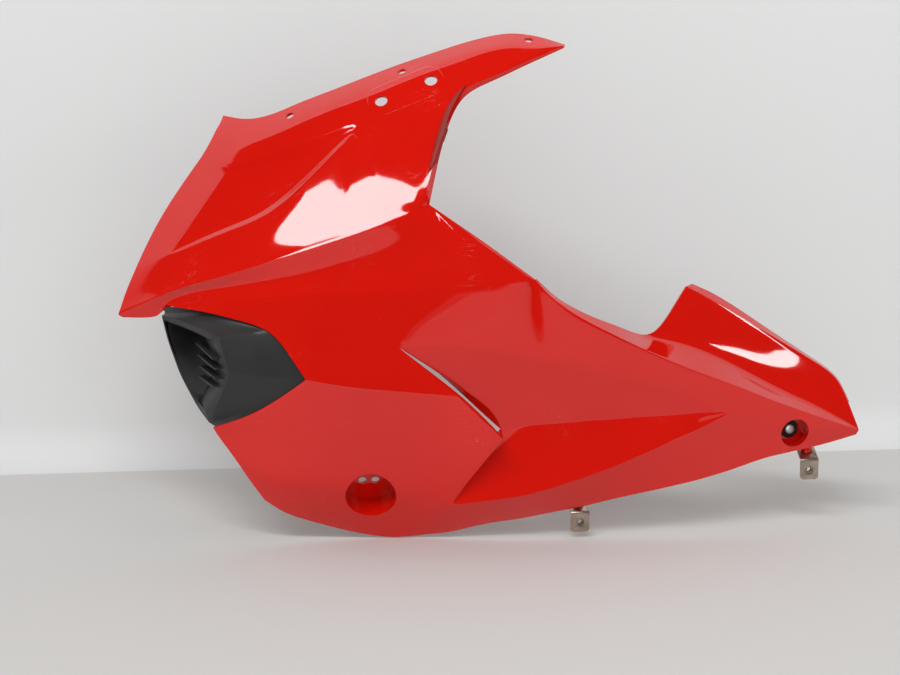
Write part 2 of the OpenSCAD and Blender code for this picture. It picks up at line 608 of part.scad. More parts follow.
tab_corner = 4;
nut_d = 9;
nut_collar = 7.4;
nut_length = 5;
tab_hole_drop = 11;
screw_length = 11;
screw_head_height = 3;
arc_steps = 8;

function arc(middle, r, from, to) = [
    for (k = [0:arc_steps])
        let (a = from + (to - from) * k / arc_steps)
        [middle[0] + r * cos(a), middle[1] + r * sin(a)]
];
// The bracket from its side: down the outside, round the bend, along the leg and back
function bracket_profile(rise) =
    let (
        centre = [bend_r + steel, -(bend_r + steel) / cos(rise) + (bend_r + steel) * tan(rise)],
        leg = lug_reach + lug_d / 2 + 1,
        along = [cos(rise), sin(rise)],
        outer = arc(centre, bend_r + steel, 180, 90 + rise),
        inner = arc(centre, bend_r, 90 + rise, 180),
        last = len(outer) - 1)
    concat([[0, -tab_height]], outer, [outer[last] + along * leg, inner[0] + along * leg], inner,
        [[steel, -tab_height]]);

module bracket(lug, drop, rise) {
    corner_at = place(lug[1]) - [0, steel, drop];
    x = tab_width / 2;
    difference() {
        translate(corner_at) intersection() {
            translate([-x, 0, 0]) rotate([90, 0, 90]) linear_extrude(tab_width)
                polygon(bracket_profile(rise));
            rotate([90, 0, 0]) linear_extrude(2 * cutter, center = true)
                polygon(concat(
                    [[x, cutter], [-x, cutter]],
                    arc([-x + tab_corner, -tab_height + tab_corner], tab_corner, 180, 270),
                    arc([x - tab_corner, -tab_height + tab_corner], tab_corner, 270, 360)));
        }
        on_leg(lug, drop, rise) translate([0, lug_reach, 0])
            cylinder(d = screw_shank + 2 * seat_gap, h = cutter, center = true, $fn = 24);
        translate(corner_at + [0, 0, -tab_hole_drop]) rotate([90, 0, 0])
            cylinder(d = nut_collar + 2 * seat_gap, h = cutter, center = true, $fn = 28);
    }
}
module front_lower_bracket() {
    in_frame() color(steel_grey) bracket(front_lug, front_drop, front_rise);
}
module rear_lower_bracket() {
    in_frame() color(steel_grey) bracket(rear_lug, rear_drop, rear_rise);
}

// A clinch nut: its collar fills the tab's hole, and its body stands behind
module bracket_nut(lug, drop) {
    translate(place(lug[1]) - [0, steel, drop + tab_hole_drop]) rotate([-90, 0, 0]) difference() {
        union() {
            cylinder(d = nut_collar, h = steel + 1, $fn = 28);
            translate([0, 0, steel]) cylinder(d = nut_d + 2, h = nut_length, $fn = 28);
        }
        translate([0, 0, -1]) cylinder(d = tab_thread, h = steel + nut_length + 2, $fn = 24);
    }
}
module front_bracket_nut() {
    in_frame() color(steel_grey) bracket_nut(front_lug, front_drop);
}
module rear_bracket_nut() {
    in_frame() color(steel_grey) bracket_nut(rear_lug, rear_drop);
}

module pan_screw(head, shank, length, height) {
    cylinder(d = shank, h = length, $fn = 24);
    translate([0, 0, -height / 2]) cylinder(d = head, h = height / 2, $fn = 28);
    translate([0, 0, -height]) cylinder(d1 = head * 0.7, d2 = head, h = height / 2, $fn = 28);
}
module bracket_screw(lug, drop, rise) {
    on_leg(lug, drop, rise) translate([0, lug_reach, -steel - seat_gap])
        pan_screw(screw_head, screw_shank, screw_length, screw_head_height);
}
module front_bracket_screw() {
    in_frame() color(steel_grey) bracket_screw(front_lug, front_drop, front_rise);
}
module rear_bracket_screw() {
    in_frame() color(steel_grey) bracket_screw(rear_lug, rear_drop, rear_rise);
}

module nose_screw() {
    in_frame() color(black) translate(nose_screw_at - [0, 0, seat_gap])
        pan_screw(nose_boss_d - 1, nose_screw_shank, nose_screw_depth - 1, 3);
}

module duct_screw(i) {
    in_frame() color(black) square_to_form(duct_screw_at[i])
        translate([0, 0, wall + stud_height + seat_gap]) mirror([0, 0, 1])
            pan_screw(screw_head, duct_screw_shank, duct_screw_depth - 0.5, 2);
}

fairing_shell();
intake_duct();
rear_grommet();
rear_sleeve();
front_lower_bracket();
rear_lower_bracket();
front_bracket_nut();
rear_bracket_nut();
front_bracket_screw();
rear_bracket_screw();
nose_screw();
duct_screw(0);  // duct_screw_1
duct_screw(1);  // duct_screw_2
duct_screw(2);  // duct_screw_3
duct_screw(3);  // duct_screw_4
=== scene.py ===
import math

import bmesh
import bpy
from mathutils import Matrix, Vector


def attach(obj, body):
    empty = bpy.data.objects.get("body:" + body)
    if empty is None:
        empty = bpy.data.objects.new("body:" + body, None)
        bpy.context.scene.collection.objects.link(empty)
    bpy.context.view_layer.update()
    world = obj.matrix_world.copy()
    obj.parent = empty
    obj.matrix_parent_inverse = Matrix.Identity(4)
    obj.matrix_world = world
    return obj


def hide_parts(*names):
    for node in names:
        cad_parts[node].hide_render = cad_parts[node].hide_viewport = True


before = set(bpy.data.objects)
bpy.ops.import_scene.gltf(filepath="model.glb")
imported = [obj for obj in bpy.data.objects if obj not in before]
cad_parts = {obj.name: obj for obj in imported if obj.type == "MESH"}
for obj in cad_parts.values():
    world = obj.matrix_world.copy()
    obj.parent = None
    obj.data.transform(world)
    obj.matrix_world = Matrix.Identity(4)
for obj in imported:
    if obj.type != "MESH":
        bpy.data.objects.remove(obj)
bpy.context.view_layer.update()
print("frame loaded,", len(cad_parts), "nodes")


def pick(*pieces):
    if bpy.context.object and bpy.context.object.mode != "OBJECT":
        bpy.ops.object.mode_set(mode="OBJECT")
    bpy.ops.object.select_all(action="DESELECT")
    for piece in pieces:
        piece.select_set(True)
    bpy.context.view_layer.objects.active = pieces[0]


def addModifier(piece, kind, **values):
    modifier = piece.modifiers.new(kind.lower(), kind)
    for name, value in values.items():
        setattr(modifier, name, value)
    pick(piece)
    bpy.ops.object.modifier_apply(modifier=modifier.name)


def settlePlace(piece):
    pick(piece)
    bpy.ops.object.transform_apply(location=True, rotation=True, scale=True)


def cutOrJoin(piece, tool, operation):
    addModifier(piece, "BOOLEAN", object=tool, operation=operation, solver="EXACT")
    bpy.data.objects.remove(tool)


def cut(piece, tool):
    cutOrJoin(piece, tool, "DIFFERENCE")


def joinAll(pieces):
    pick(*pieces)
    if len(pieces) > 1:
        bpy.ops.object.join()
    return pieces[0]


def addObject(name, data):
    added = bpy.data.objects.new(name, data)
    bpy.context.scene.collection.objects.link(added)
    return added


def meshPiece(name, verts, faces):
    mesh = bpy.data.meshes.new(name)
    mesh.from_pydata([tuple(v) for v in verts], [], faces)
    return addObject(name, mesh)


# a dictionary's sizes in millimetres, as metres
def inMetres(values, *names):
    return [values[name] / 1000 for name in names]


def editWhole(piece):
    pick(piece)
    bpy.ops.object.mode_set(mode="EDIT")
    bpy.ops.mesh.select_all(action="SELECT")


def outwardFaces(piece):
    editWhole(piece)
    bpy.ops.mesh.remove_doubles(threshold=0.00001)
    bpy.ops.mesh.normals_make_consistent(inside=False)
    bpy.ops.object.mode_set(mode="OBJECT")


# a rod from one point along a direction
def rod(start, direction, radius, length, corners):
    axis = Vector(direction).normalized()
    bpy.ops.mesh.primitive_cylinder_add(
        vertices=corners, radius=radius, depth=length, location=Vector(start) + axis * length / 2,
        rotation=axis.to_track_quat("Z", "Y").to_euler())
    piece = bpy.context.object
    settlePlace(piece)
    return piece


# turns a [radius, height] outline about an axis
def turned(name, outline, start, direction, steps, closed=True):
    turn = Vector(direction).normalized().to_track_quat("Z", "Y").to_matrix()
    verts = [Vector(start) + turn @ Vector((r, 0, h)) for r, h in outline]
    piece = meshPiece(name, verts, [])
    last = len(outline)
    piece.data.edges.add(last if closed else last - 1)
    for i, edge in enumerate(piece.data.edges):
        edge.vertices = (i, (i + 1) % last)
    editWhole(piece)
    bpy.ops.mesh.spin(steps=steps, angle=math.tau, center=Vector(start), axis=Vector(direction))
    outwardFaces(piece)
    return piece


def smoothPiece(piece, degrees):
    pick(piece)
    bpy.ops.object.shade_smooth_by_angle(angle=math.radians(degrees))


def finishPiece(piece, material, slot, node):
    if not piece.data.materials:
        piece.data.materials.append(None)
    piece.data.materials[0] = material
    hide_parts(node)
    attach(piece, "root")


# the body form that every line of the panel is drawn on, in millimetres from the drawing's datum
bodyForm = {
    "noseSweep": 185, "noseReach": 385, "noseStart": 10, "noseRake": 0.57,
    "topLean": 72, "leanStart": 40, "leanHeight": 210,
    "tailTuck": 40, "tailStart": 150, "tailLength": 260,
}
rearCup = {"x": 348, "z": -100, "relief": 3.5, "bore": 30, "depth": 23, "wall": 3, "mouth": 12}


def formDepth(x, z):
    f = bodyForm
    s = max(0, min(0.975, (f["noseStart"] - x + f["noseRake"] * z) / f["noseReach"]))
    lean = max(0, (z - f["leanStart"]) / f["leanHeight"])
    tail = max(0, (x - f["tailStart"]) / f["tailLength"])
    return f["noseSweep"] * (1 - math.sqrt(1 - s * s)) + f["topLean"] * lean**2 + f["tailTuck"] * tail**2


def inwardAt(x, z):
    return Vector((
        (formDepth(x - 1, z) - formDepth(x + 1, z)) / 2, 1,
        (formDepth(x, z - 1) - formDepth(x, z + 1)) / 2)).normalized()


# the part's origin is the rear sleeve's middle
rearMouth = formDepth(rearCup["x"], rearCup["z"]) + rearCup["relief"]
datum = Vector((rearCup["x"], rearMouth + rearCup["depth"] + rearCup["wall"] / 2, rearCup["z"]))


def toFrame(point):
    return (Vector(point) - datum) / 1000


def place(q, deep=0):
    return toFrame(Vector((q[0], formDepth(q[0], q[1]) + q[2], q[1])) + inwardAt(q[0], q[1]) * deep)


# rails are smooth curves that break only at sharp corners, and sheets lie between them
def heading(p, i):
    back = p[i] - p[i - 1] if i > 0 else p[i + 1] - p[i]
    ahead = p[i + 1] - p[i] if i < len(p) - 1 else back
    return (back.normalized() * ahead.length + ahead.normalized() * back.length).normalized()


sharpTurn = 0.78  # cosine of the turn at which a corner is sharp


def isSharp(p, i, corners=()):
    if i == 0 or i == len(p) - 1:
        return False
    return i in corners or (p[i] - p[i - 1]).normalized().dot((p[i + 1] - p[i]).normalized()) < sharpTurn


def rail(points, steps, corners=()):
    p = [Vector(q[:3]) for q in points]
    line = []
    for i in range(len(p) - 1):
        run = p[i + 1] - p[i]
        start = run.normalized() if isSharp(p, i, corners) else heading(p, i)
        end = run.normalized() if isSharp(p, i + 1, corners) else heading(p, i + 1)
        for s in range(steps[i]):
            t = s / steps[i]
            bend = p[i] * (1 - t) ** 2 * (1 + 2 * t) + p[i + 1] * t * t * (3 - 2 * t)
            line.append(bend + (start * t * (1 - t) ** 2 - end * t * t * (1 - t)) * run.length)
    return line + [p[-1]]


def sheetOf(rails, rows, corners=(), cornerColumns=()):
    columns = []
    last = len(rails[0]) - 1
    for i in range(last + 1):
        line = [r[i] for r in rails]
        if 0 < i < last:
            columns.append(rail(line, rows, corners if i in cornerColumns else ()))
        else:
            straight = [a.lerp(b, t / n) for a, b, n in zip(line, line[1:], rows) for t in range(n)]
            columns.append(straight + [line[-1]])
    return [list(row) for row in zip(*columns)]


def column(sheet, i):
    return [row[i] for row in sheet]


wedgeTip = (277, -73, 0)
panelRails = {
    "noseEdge": [(-220, 216, 6), (-223, 209, 3), (-228, 202, 0), (-234, 190, 0), (-243, 176, 0),
        (-246, 172, 0), (-269, 141, 0), (-290, 109, 0), (-309, 71, 0), (-311, 66, 0), (-320, 47, 0),
        (-325, 33, 0), (-329, 22, 0)],
    "topEdge": [(-219, 216, 6), (-206, 214, 7), (-191, 214, 9), (-171, 219, 12), (-145, 230, 14),
        (-108, 244, 16), (-74, 257, 17), (-44, 268, 17), (-17, 277, 17), (11, 286, 17), (40, 294, 16),
        (68, 299, 15), (97, 296, 13), (123, 288, 9)],
    "topBend": [(-228, 202, 0), (-213, 197, 0), (-194, 196, 0), (-172, 203, 0), (-145, 215, 0),
        (-108, 230, 0), (-75, 242, 0), (-45, 254, 0), (-18, 264, 0), (10, 273, 0), (37, 282, 0), (65, 287, 0),
        (93, 285, 0), (120, 287, 5)],
    "arrowTop": [(-242, 176, 0), (-217, 168, 0), (-192, 177, 0), (-162, 189, 0), (-130, 199, 0),
        (-96, 211, 0)],
    "arrowTopFloor": [(-244, 172, 0), (-217, 166, 1), (-190, 170, 4), (-156, 176, 6), (-126, 184, 5),
        (-96, 208, 2)],
    "arrowLowFloor": [(-309, 66, 0), (-274, 86, 1), (-224, 110, 5), (-183, 128, 6), (-136, 167, 5),
        (-95, 206, 2)],
    "arrowLow": [(-313, 61, 0), (-277, 82, 0), (-223, 107, 0), (-179, 126, 0), (-134, 165, 0), (-93, 205, 0)],
    "hookBend": [(-325, 30, 0), (-294, 46, 0), (-264, 60, -2), (-225, 75, -4), (-181, 91, -4),
        (-123, 112, -4), (-71, 129, -4), (-43, 137, -3), (-27, 141, 0), (-26, 152, 0), (-10, 203, 0),
        (7, 238, 1), (52, 260, 2), (118, 286, 5)],
    "ridge": [(-329, 21, 0), (-297, 39, -1), (-267, 53, -3), (-225, 67, -6), (-179, 83, -7), (-121, 102, -7),
        (-68, 120, -5), (-40, 131, -2), (-24, 137, 6)],
    "hookEdge": [(-20, 151, 8), (-4, 203, 8), (13, 235, 8), (56, 257, 8), (122, 285, 8)],
    "shoulder": [(-324, 19, 6), (-290, 20, 15), (-282, 35, 8), (-213, 45, 1), (-175, 49, 0), (-141, 52, 0),
        (-55, 57, 0), (-7, 60, 0), (37, 62, 0), (69, 64, 0), (77, 65, 6)],
    "scoopFloor": [(-327, 20, 3), (-294, 29, 8), (-275, 43, 6), (-220, 56, 4), (-178, 64, 4), (-128, 74, 5),
        (-63, 88, 5), (-26, 95, 5), (0, 99, 5), (20, 101, 6), (27, 102, 12)],
    "spikeMid": [(-281, 35, 8), (-213, 37, 0), (-175, 33, 0), (-143, 8, -1), (-58, 2, -1)],
    "spikeEdge": [(-279, 34, 8), (-238, 31, 2), (-178, 17, 0)],
    "ductEdge": [(-237, -79, 0), (-201, -66, 2), (-170, -47, 0)],
    "middle": [(-147, -30, -2), (-100, -37, -4), (-52, -41, -6), (-1, -46, -8)],
    "ventTip": (43, -89, -12),
    "knee": [(-232, -88, 4), (-202, -92, 7), (-168, -102, 9), (-139, -110, 10), (-105, -115, 10),
        (-66, -119, 8), (-27, -124, 4), (18, -123, -4)],
    "band": [(-219, -106, 8), (-190, -124, 10), (-158, -129, 11), (-129, -132, 12), (-100, -136, 12),
        (-64, -138, 10), (-28, -140, 7), (5, -141, 2)],
    "chin": [(-202, -133, 15), (-177, -144, 18), (-150, -149, 20), (-124, -153, 21), (-95, -157, 21),
        (-61, -159, 19), (-29, -159, 14), (-7, -159, 8)],
    "frontEdge": [(-188, -154, 24), (-168, -169, 32), (-143, -179, 38), (-119, -187, 41), (-89, -195, 42),
        (-59, -199, 40), (-29, -196, 36), (-4, -193, 31)],
    "crest": [(90, 50, 0), (120, 28, 0), (150, 12, 0), (186, -6, 0), (232, -27, 0), (280, -46, 0),
        (329, -67, 0), (375, -85, 0), (420, -102, 0)],
    "wedgeTop": [(-58, 2, -1), (-17, 2, 0), (17, 0, 0), (47, -5, 0), (81, -12, 0), (111, -17, 0),
        (141, -24, 0), (181, -35, 0), (228, -52, 0), wedgeTip],
    "wedgeFace": [(-6, -33, 8), (21, -37, 8), (46, -40, 8), (68, -43, 8), (93, -45, 7), (117, -48, 6),
        (145, -50, 5), (182, -55, 4), (225, -62, 2), wedgeTip],
    "wedgeLowStart": (37, -65, 12),
    "slotLip": [(-20, -24, 10), (-8, -35, 13), (12, -54, 16), (31, -73, 18)],
    "ventRoll": {"across": (0.67, 0.74), "width": [0, 0.8, 1.5, 2.2, 2.6, 2.2, 1.2], "deep": [0, 3, 4, 5, 6,
        6, 4]},
    "valley": [(46, -86, 14), (69, -82, 14), (89, -81, 13), (109, -80, 12), (134, -78, 11), (159, -77, 9),
        (183, -75, 7), (216, -74, 5), (249, -72, 2), wedgeTip],
    "lowerFace": [(22, -121, 13), (47, -113, 11), (70, -108, 10), (94, -103, 9), (122, -99, 8), (152, -94, 6),
        (183, -88, 5), (217, -81, 3), (249, -76, 1), wedgeTip],
    "lowerFold": [(9, -139, 10), (41, -133, 8), (67, -129, 6), (93, -123, 5), (122, -116, 4), (152, -109, 3),
        (183, -99, 2), (216, -90, 1), (249, -80, 1), wedgeTip],
    "lowerRidge": [(-7, -159, 8), (33, -154, 3), (62, -150, 0), (92, -143, -1), (122, -134, -1),
        (152, -124, -1), (182, -112, -1), (215, -100, 0), (249, -85, 0), wedgeTip],
    "rearEdge": [(-4, -193, 31), (36, -183, 25), (66, -179, 22), (96, -173, 20), (126, -168, 18),
        (156, -161, 17), (187, -155, 16), (219, -149, 14), (254, -142, 13), (286, -134, 12)],
    "tailLine": [wedgeTip, (316, -77, 0), (349, -91, 1), (382, -99, 1), (420, -103, 0)],
    "tailEdge": [(286, -134, 12), (318, -125, 11), (351, -120, 9), (382, -115, 6), (418, -107, 1)],
    "channelEdge": [(79, 65, 8), (98, 47, 8), (131, 28, 12), (162, 15, 20), (195, 1, 33), (234, -5, 34),
        (290, -34, 29), (337, -60, 21), (381, -80, 11), (421, -103, 1)],
    "flapFold": [(210, 9, 37), (243, 3, 38), (299, -29, 35), (349, -54, 28), (391, -74, 18), (421, -101, 3)],
    "flapTop": [(239, 48, 50), (262, 36, 49), (315, 4, 46), (373, -31, 40), (403, -52, 31), (413, -76, 16)],
    "flapReturn": [(248, 49, 60), (272, 38, 60), (324, 4, 56), (377, -31, 49), (406, -52, 37),
        (415, -76, 19)],
}
railSteps = {
    "upper": [1, 2, 2, 2, 2, 6, 2, 2, 1, 3, 2, 3, 3], "scoop": [1, 2, 2, 2, 2, 6, 2, 2, 2, 1],
    "belly": [2, 2, 2, 2, 2, 2, 3], "rear": [2, 2, 2, 1, 2, 2, 2, 2, 2], "twos": [2] * 9,
}

# every sheet of the panel, and the lines that stay crisp
def panelSheets(r):
    upperSteps, rearSteps, twos = railSteps["upper"], railSteps["rear"], railSteps["twos"]

    def lines(steps, *names):
        return [rail(r[name], steps) for name in names]

    # behind the arrow's tip the rows fan out between the top bend and the hook
    def fan(points, share):
        ends = range(len(points), len(r["topBend"]))
        spread = [Vector(r["topBend"][i]).lerp(Vector(r["hookBend"][i]), share) for i in ends]
        return rail(points + [tuple(v) for v in spread], upperSteps)

    hook = rail(r["ridge"] + r["hookEdge"], upperSteps)
    ridgeEnd = sum(upperSteps[:len(r["ridge"]) - 1])
    upper = sheetOf([
        rail(r["topEdge"], upperSteps), rail(r["topBend"], upperSteps), fan(r["arrowTop"], 0.2),
        fan(r["arrowTopFloor"], 0.35), fan(r["arrowLowFloor"], 0.65), fan(r["arrowLow"], 0.8),
        rail(r["hookBend"], upperSteps), hook], [2, 2, 1, 3, 1, 2, 1], (2, 3, 4, 5), range(1, 10))
    for row, q in zip(upper, r["noseEdge"]):
        row[0] = Vector(q)
    hook[0] = Vector(r["noseEdge"][-1])
    shoulder = rail(r["shoulder"], railSteps["scoop"])
    closed = [hook[ridgeEnd]] * (len(shoulder) - 1 - ridgeEnd)
    scoopFloor = rail(r["scoopFloor"], railSteps["scoop"])
    scoop = sheetOf([hook[:ridgeEnd + 1] + closed, scoopFloor, shoulder], [3, 3])
    middle = rail(r["middle"], twos)
    spike = rail(r["spikeEdge"] + r["middle"][:1], twos)
    flank = sheetOf([shoulder[3:16], rail(r["spikeMid"], [2, 2, 2, 6]), spike + middle[1:]], [2, 3])
    seam = rail(r["ductEdge"] + r["middle"][:1], twos)
    vent = rail([r["middle"][3], r["ventTip"]], [3])
    belly = sheetOf([
        seam + middle[1:] + vent[1:], *lines(railSteps["belly"], "knee", "band", "chin", "frontEdge")],
        [3, 1, 2, 3])
    crest = rail(r["shoulder"][-1:] + r["crest"], twos)
    wedgeTop, wedgeFace, valley, lowerRidge = lines(
        rearSteps, "wedgeTop", "wedgeFace", "valley", "lowerRidge")
    lowPoints = [tuple(Vector(a).lerp(Vector(b), 0.7)) for a, b in zip(r["wedgeFace"][1:], r["valley"][1:])]
    wedgeLow = rail([r["wedgeLowStart"]] + lowPoints, rearSteps)
    wing = sheetOf([shoulder[15:] + crest[1:11], wedgeTop], [2])
    wedge = sheetOf([wedgeTop, wedgeFace, wedgeLow, valley], [2, 2, 1])
    slotEdge = column(wedge, 0)
    slotLip = [slotEdge[0]] + [Vector(q) for q in r["slotLip"]] + [slotEdge[-1]]
    # the belly's side of the slot rolls inwards
    ventEdge, roll = column(flank, -1)[2:] + vent[1:], r["ventRoll"]
    ventRoll = [q + Vector((roll["across"][0] * width, roll["across"][1] * width, deep))
                for q, width, deep in zip(ventEdge, roll["width"], roll["deep"])]
    lower = sheetOf([valley, *lines(rearSteps, "lowerFace", "lowerFold"), lowerRidge], [3, 1, 2])
    skirt = sheetOf([lowerRidge, rail(r["rearEdge"], rearSteps)], [3])
    bellyEnd = column(belly, -1)[:7]
    riser = sheetOf([column(lower, 0), bellyEnd], [2])
    tail = sheetOf([crest[10:], *lines(twos, "tailLine", "tailEdge")], [2, 3])
    channelEdge = rail(r["channelEdge"], twos)
    channel = sheetOf([channelEdge, crest], [3])
    flap = sheetOf([*lines(twos, "flapReturn", "flapTop", "flapFold"), channelEdge[8:]], [1, 2, 1])
    crisp = [upper[row][1:10] for row in (4, 5, 8, 9)] + [
        column(upper, 1)[4:10], shoulder, middle, wedgeTop[:16], valley, lowerRidge,
        crest, flap[1], column(lower, 0), bellyEnd, slotEdge, ventEdge, hook[:ridgeEnd + 1], hook[ridgeEnd:],
        rail(r["hookBend"], upperSteps)[ridgeEnd + 3:], column(lower, -1)]
    sheets = [
        upper, scoop, flank, belly, wing, wedge, [slotLip, slotEdge], [ventEdge, ventRoll], lower, skirt,
        riser, tail, channel, flap]
    return sheets, crisp


shellLooks = {"wall": 0.003, "levels": 2, "edgeRound": 0.0009, "smoothAngle": 32}


def buildSkin():
    sheets, crisp = panelSheets(panelRails)
    skin = meshPiece("fairingShell", [], [])
    bm = bmesh.new()
    verts = {}

    def vertAt(q):
        p = place(q)
        key = tuple(round(c * 1e5) for c in p)
        if key not in verts:
            verts[key] = bm.verts.new(p)
        return verts[key]

    for sheet in sheets:
        for top, foot in zip(sheet, sheet[1:]):
            for i in range(len(top) - 1):
                ring = [vertAt(q) for q in (top[i], foot[i], foot[i + 1], top[i + 1])]
                ring = [v for k, v in enumerate(ring) if v is not ring[k - 1]]
                if len(set(ring)) > 2:
                    bm.faces.new(ring)
    creases = bm.edges.layers.float.new("crease_edge")
    for line in crisp:
        for a, b in zip(line, line[1:]):
            edge = bm.edges.get((vertAt(a), vertAt(b))) if vertAt(a) is not vertAt(b) else None
            if edge:
                edge[creases] = 1
    # all faces look outwards, towards -Y
    bmesh.ops.recalc_face_normals(bm, faces=bm.faces)
    if sum(f.normal.y * f.calc_area() for f in bm.faces) > 0:
        bmesh.ops.reverse_faces(bm, faces=bm.faces)
    print("panel net:", len(bm.faces), "faces")
    bm.to_mesh(skin.data)
    bm.free()
    addModifier(skin, "SUBSURF", levels=shellLooks["levels"], boundary_smooth="PRESERVE_CORNERS")
    # the crisp lines get a small moulded radius
    sharp = [round(c.value, 2) for c in skin.data.attributes["crease_edge"].data]
    weights = skin.data.attributes.new("bevel_weight_edge", "FLOAT", "EDGE")
    weights.data.foreach_set("value", sharp)
    addModifier(skin, "BEVEL", width=shellLooks["edgeRound"], segments=2, limit_method="WEIGHT",
                use_clamp_overlap=True)
    return skin


# a closed block that lies under one stretch of the skin
def blockUnder(skin, centre, reach, inward, start, depth):
    bm = bmesh.new()
    bm.from_mesh(skin.data)
    far = [f for f in bm.faces if (f.calc_center_median() - centre).length > reach]
    bmesh.ops.delete(bm, geom=far, context="FACES")
    loose = [v for v in bm.verts if not v.link_faces]
    bmesh.ops.delete(bm, geom=loose, context="VERTS")
    bm.verts.index_update()
    top = [v.co + inward * start for v in bm.verts]
    faces = [[v.index for v in f.verts] for f in bm.faces]
    count = len(top)
    rim = [[loop.vert.index, loop.link_loop_next.vert.index]
           for e in bm.edges if e.is_boundary for loop in e.link_loops]
    bm.free()
    return meshPiece(
        "block", top + [p + inward * depth for p in top],
        faces + [[i + count for i in reversed(f)] for f in faces]
        + [[b, a, a + count, b + count] for a, b in rim])


frontCup = {"at": (-84, -150, 17), "tilt": 26, "bore": 50, "depth": 25, "wall": 3, "mouth": 15,
            "screwBore": 8, "pitch": 13}
cupReach = {"ahead": 0.03, "aside": 0.02, "behind": 0.08}
mirrorHoles = {"at": [(-65, 234, 0), (-15, 254, 0)], "bore": 12.5}
screenHoles = {"at": [(3, 0.65, 0.5), (7, 0.1, 0.5), (11, 0.7, 0.4)], "bore": 9}
ductStuds = {"at": [(-173, 25, 0), (-142, -15, -1.7), (-153, -47, -0.5), (-197, -73, 3.2)],
             "across": 6, "height": 3.9, "pilot": 2.5}
noseBoss = {"at": (-281.5, 33), "inset": 18.5, "webStart": (-281.5, 42, 6), "across": 8, "height": 20,
            "pilot": 3, "pilotDepth": 9}
steelTab = {"width": 19, "height": 21, "thick": 2, "bend": 1, "corner": 4, "holeDrop": 11, "collar": 7.4,
            "edge": 0.3, "turnSteps": 10}
lugs = {
    "across": 11, "reach": 14, "height": 14, "pilot": 4,
    "front": {"high": panelRails["lowerRidge"][4], "low": panelRails["rearEdge"][4], "drop": 4, "rise": 14},
    "rear": {"high": (365.5, -95, 1), "low": (366.5, -117.5, 7.5), "drop": 12, "rise": 28},
}


def cup(skin, centre, inward, values):
    mouth, radius, ahead = place(centre), values["bore"] / 2000, cupReach["ahead"]
    depth, wall = inMetres(values, "depth", "wall")
    body = rod(mouth - inward * ahead, inward, radius + wall, ahead + depth + wall, 96)
    block = blockUnder(
        skin, mouth, radius + cupReach["aside"], inward, shellLooks["wall"] / 2, cupReach["behind"])
    cutOrJoin(body, block, "INTERSECT")
    cut(body, rod(mouth - inward * (ahead + 0.01), inward, radius, ahead + 0.01 + depth, 96))
    return body


def cupMouth(centre, inward, values):
    start = place(centre) - inward * cupReach["ahead"]
    return rod(start, inward, values["bore"] / 2000, cupReach["ahead"] + values["mouth"] / 1000, 96)


def onFlange(spot):
    i, along, across = spot
    top, bend = panelRails["topEdge"], panelRails["topBend"]
    edge = Vector(top[i]).lerp(Vector(top[i + 1]), along)
    fold = Vector(bend[i]).lerp(Vector(bend[i + 1]), along)
    normal = (place(top[i]) - place(bend[i])).cross(place(bend[i + 1]) - place(bend[i])).normalized()
    return place(edge.lerp(fold, across)), normal


# where a bracket hangs under the lower edge, the way its leg runs and the way its screw points
def legOf(lug):
    rise = math.radians(lug["rise"])
    bend = place(lug["low"]) - Vector((0, steelTab["thick"], lug["drop"])) / 1000
    return bend, Vector((0, math.cos(rise), math.sin(rise))), Vector((0, -math.sin(rise), math.cos(rise)))


def prism(name, outline, x, thick):
    verts = [(x + side * thick / 2, y, z) for side in (-1, 1) for y, z in outline]
    last = len(outline)
    sides = [(i, (i + 1) % last, (i + 1) % last + last, i + last) for i in range(last)]
    piece = meshPiece(name, verts, [tuple(range(last)), tuple(range(last, 2 * last)), *sides])
    outwardFaces(piece)
    return piece


def lugBody(lug):
    bend, along, up = legOf(lug)
    foot = bend + along * lugs["reach"] / 1000
    post = rod(foot + up * 0.0003, up, lugs["across"] / 2000, lugs["height"] / 1000, 40)
    addModifier(post, "BEVEL", width=0.0006, segments=2, limit_method="ANGLE")
    low = place(Vector(lug["high"]).lerp(Vector(lug["low"]), 0.85), 1.5)
    high = place(Vector(lug["high"]).lerp(Vector(lug["low"]), 0.3), 1.5)
    top = foot + up * lugs["height"] / 1000
    web = prism("lugWeb", [
        (low.y, low.z), (foot.y, foot.z + 0.003), (top.y, top.z - 0.001), (high.y, high.z)], foot.x, 0.006)
    cutOrJoin(post, web, "UNION")
    return post, rod(foot - up * 0.001, up, lugs["pilot"] / 2000, (lugs["height"] - 1) / 1000, 32)


def noseFoot():
    x, z = noseBoss["at"]
    return toFrame((x, formDepth(x, z) + noseBoss["inset"], z))


def noseBossBody():
    foot = noseFoot()
    up, height, root = Vector((0, 0, 1)), noseBoss["height"] / 1000, place(noseBoss["webStart"], 1.5)
    post = rod(foot, up, noseBoss["across"] / 2000, height, 32)
    web = prism("noseWeb", [
        (root.y, foot.z + 0.003), (foot.y - 0.002, foot.z + 0.003), (foot.y - 0.002, foot.z + height),
        (root.y, foot.z + height)], root.x, 0.003)
    cutOrJoin(post, web, "UNION")
    return post, rod(foot - up * 0.001, up, noseBoss["pilot"] / 2000,
                     noseBoss["pilotDepth"] / 1000, 24)


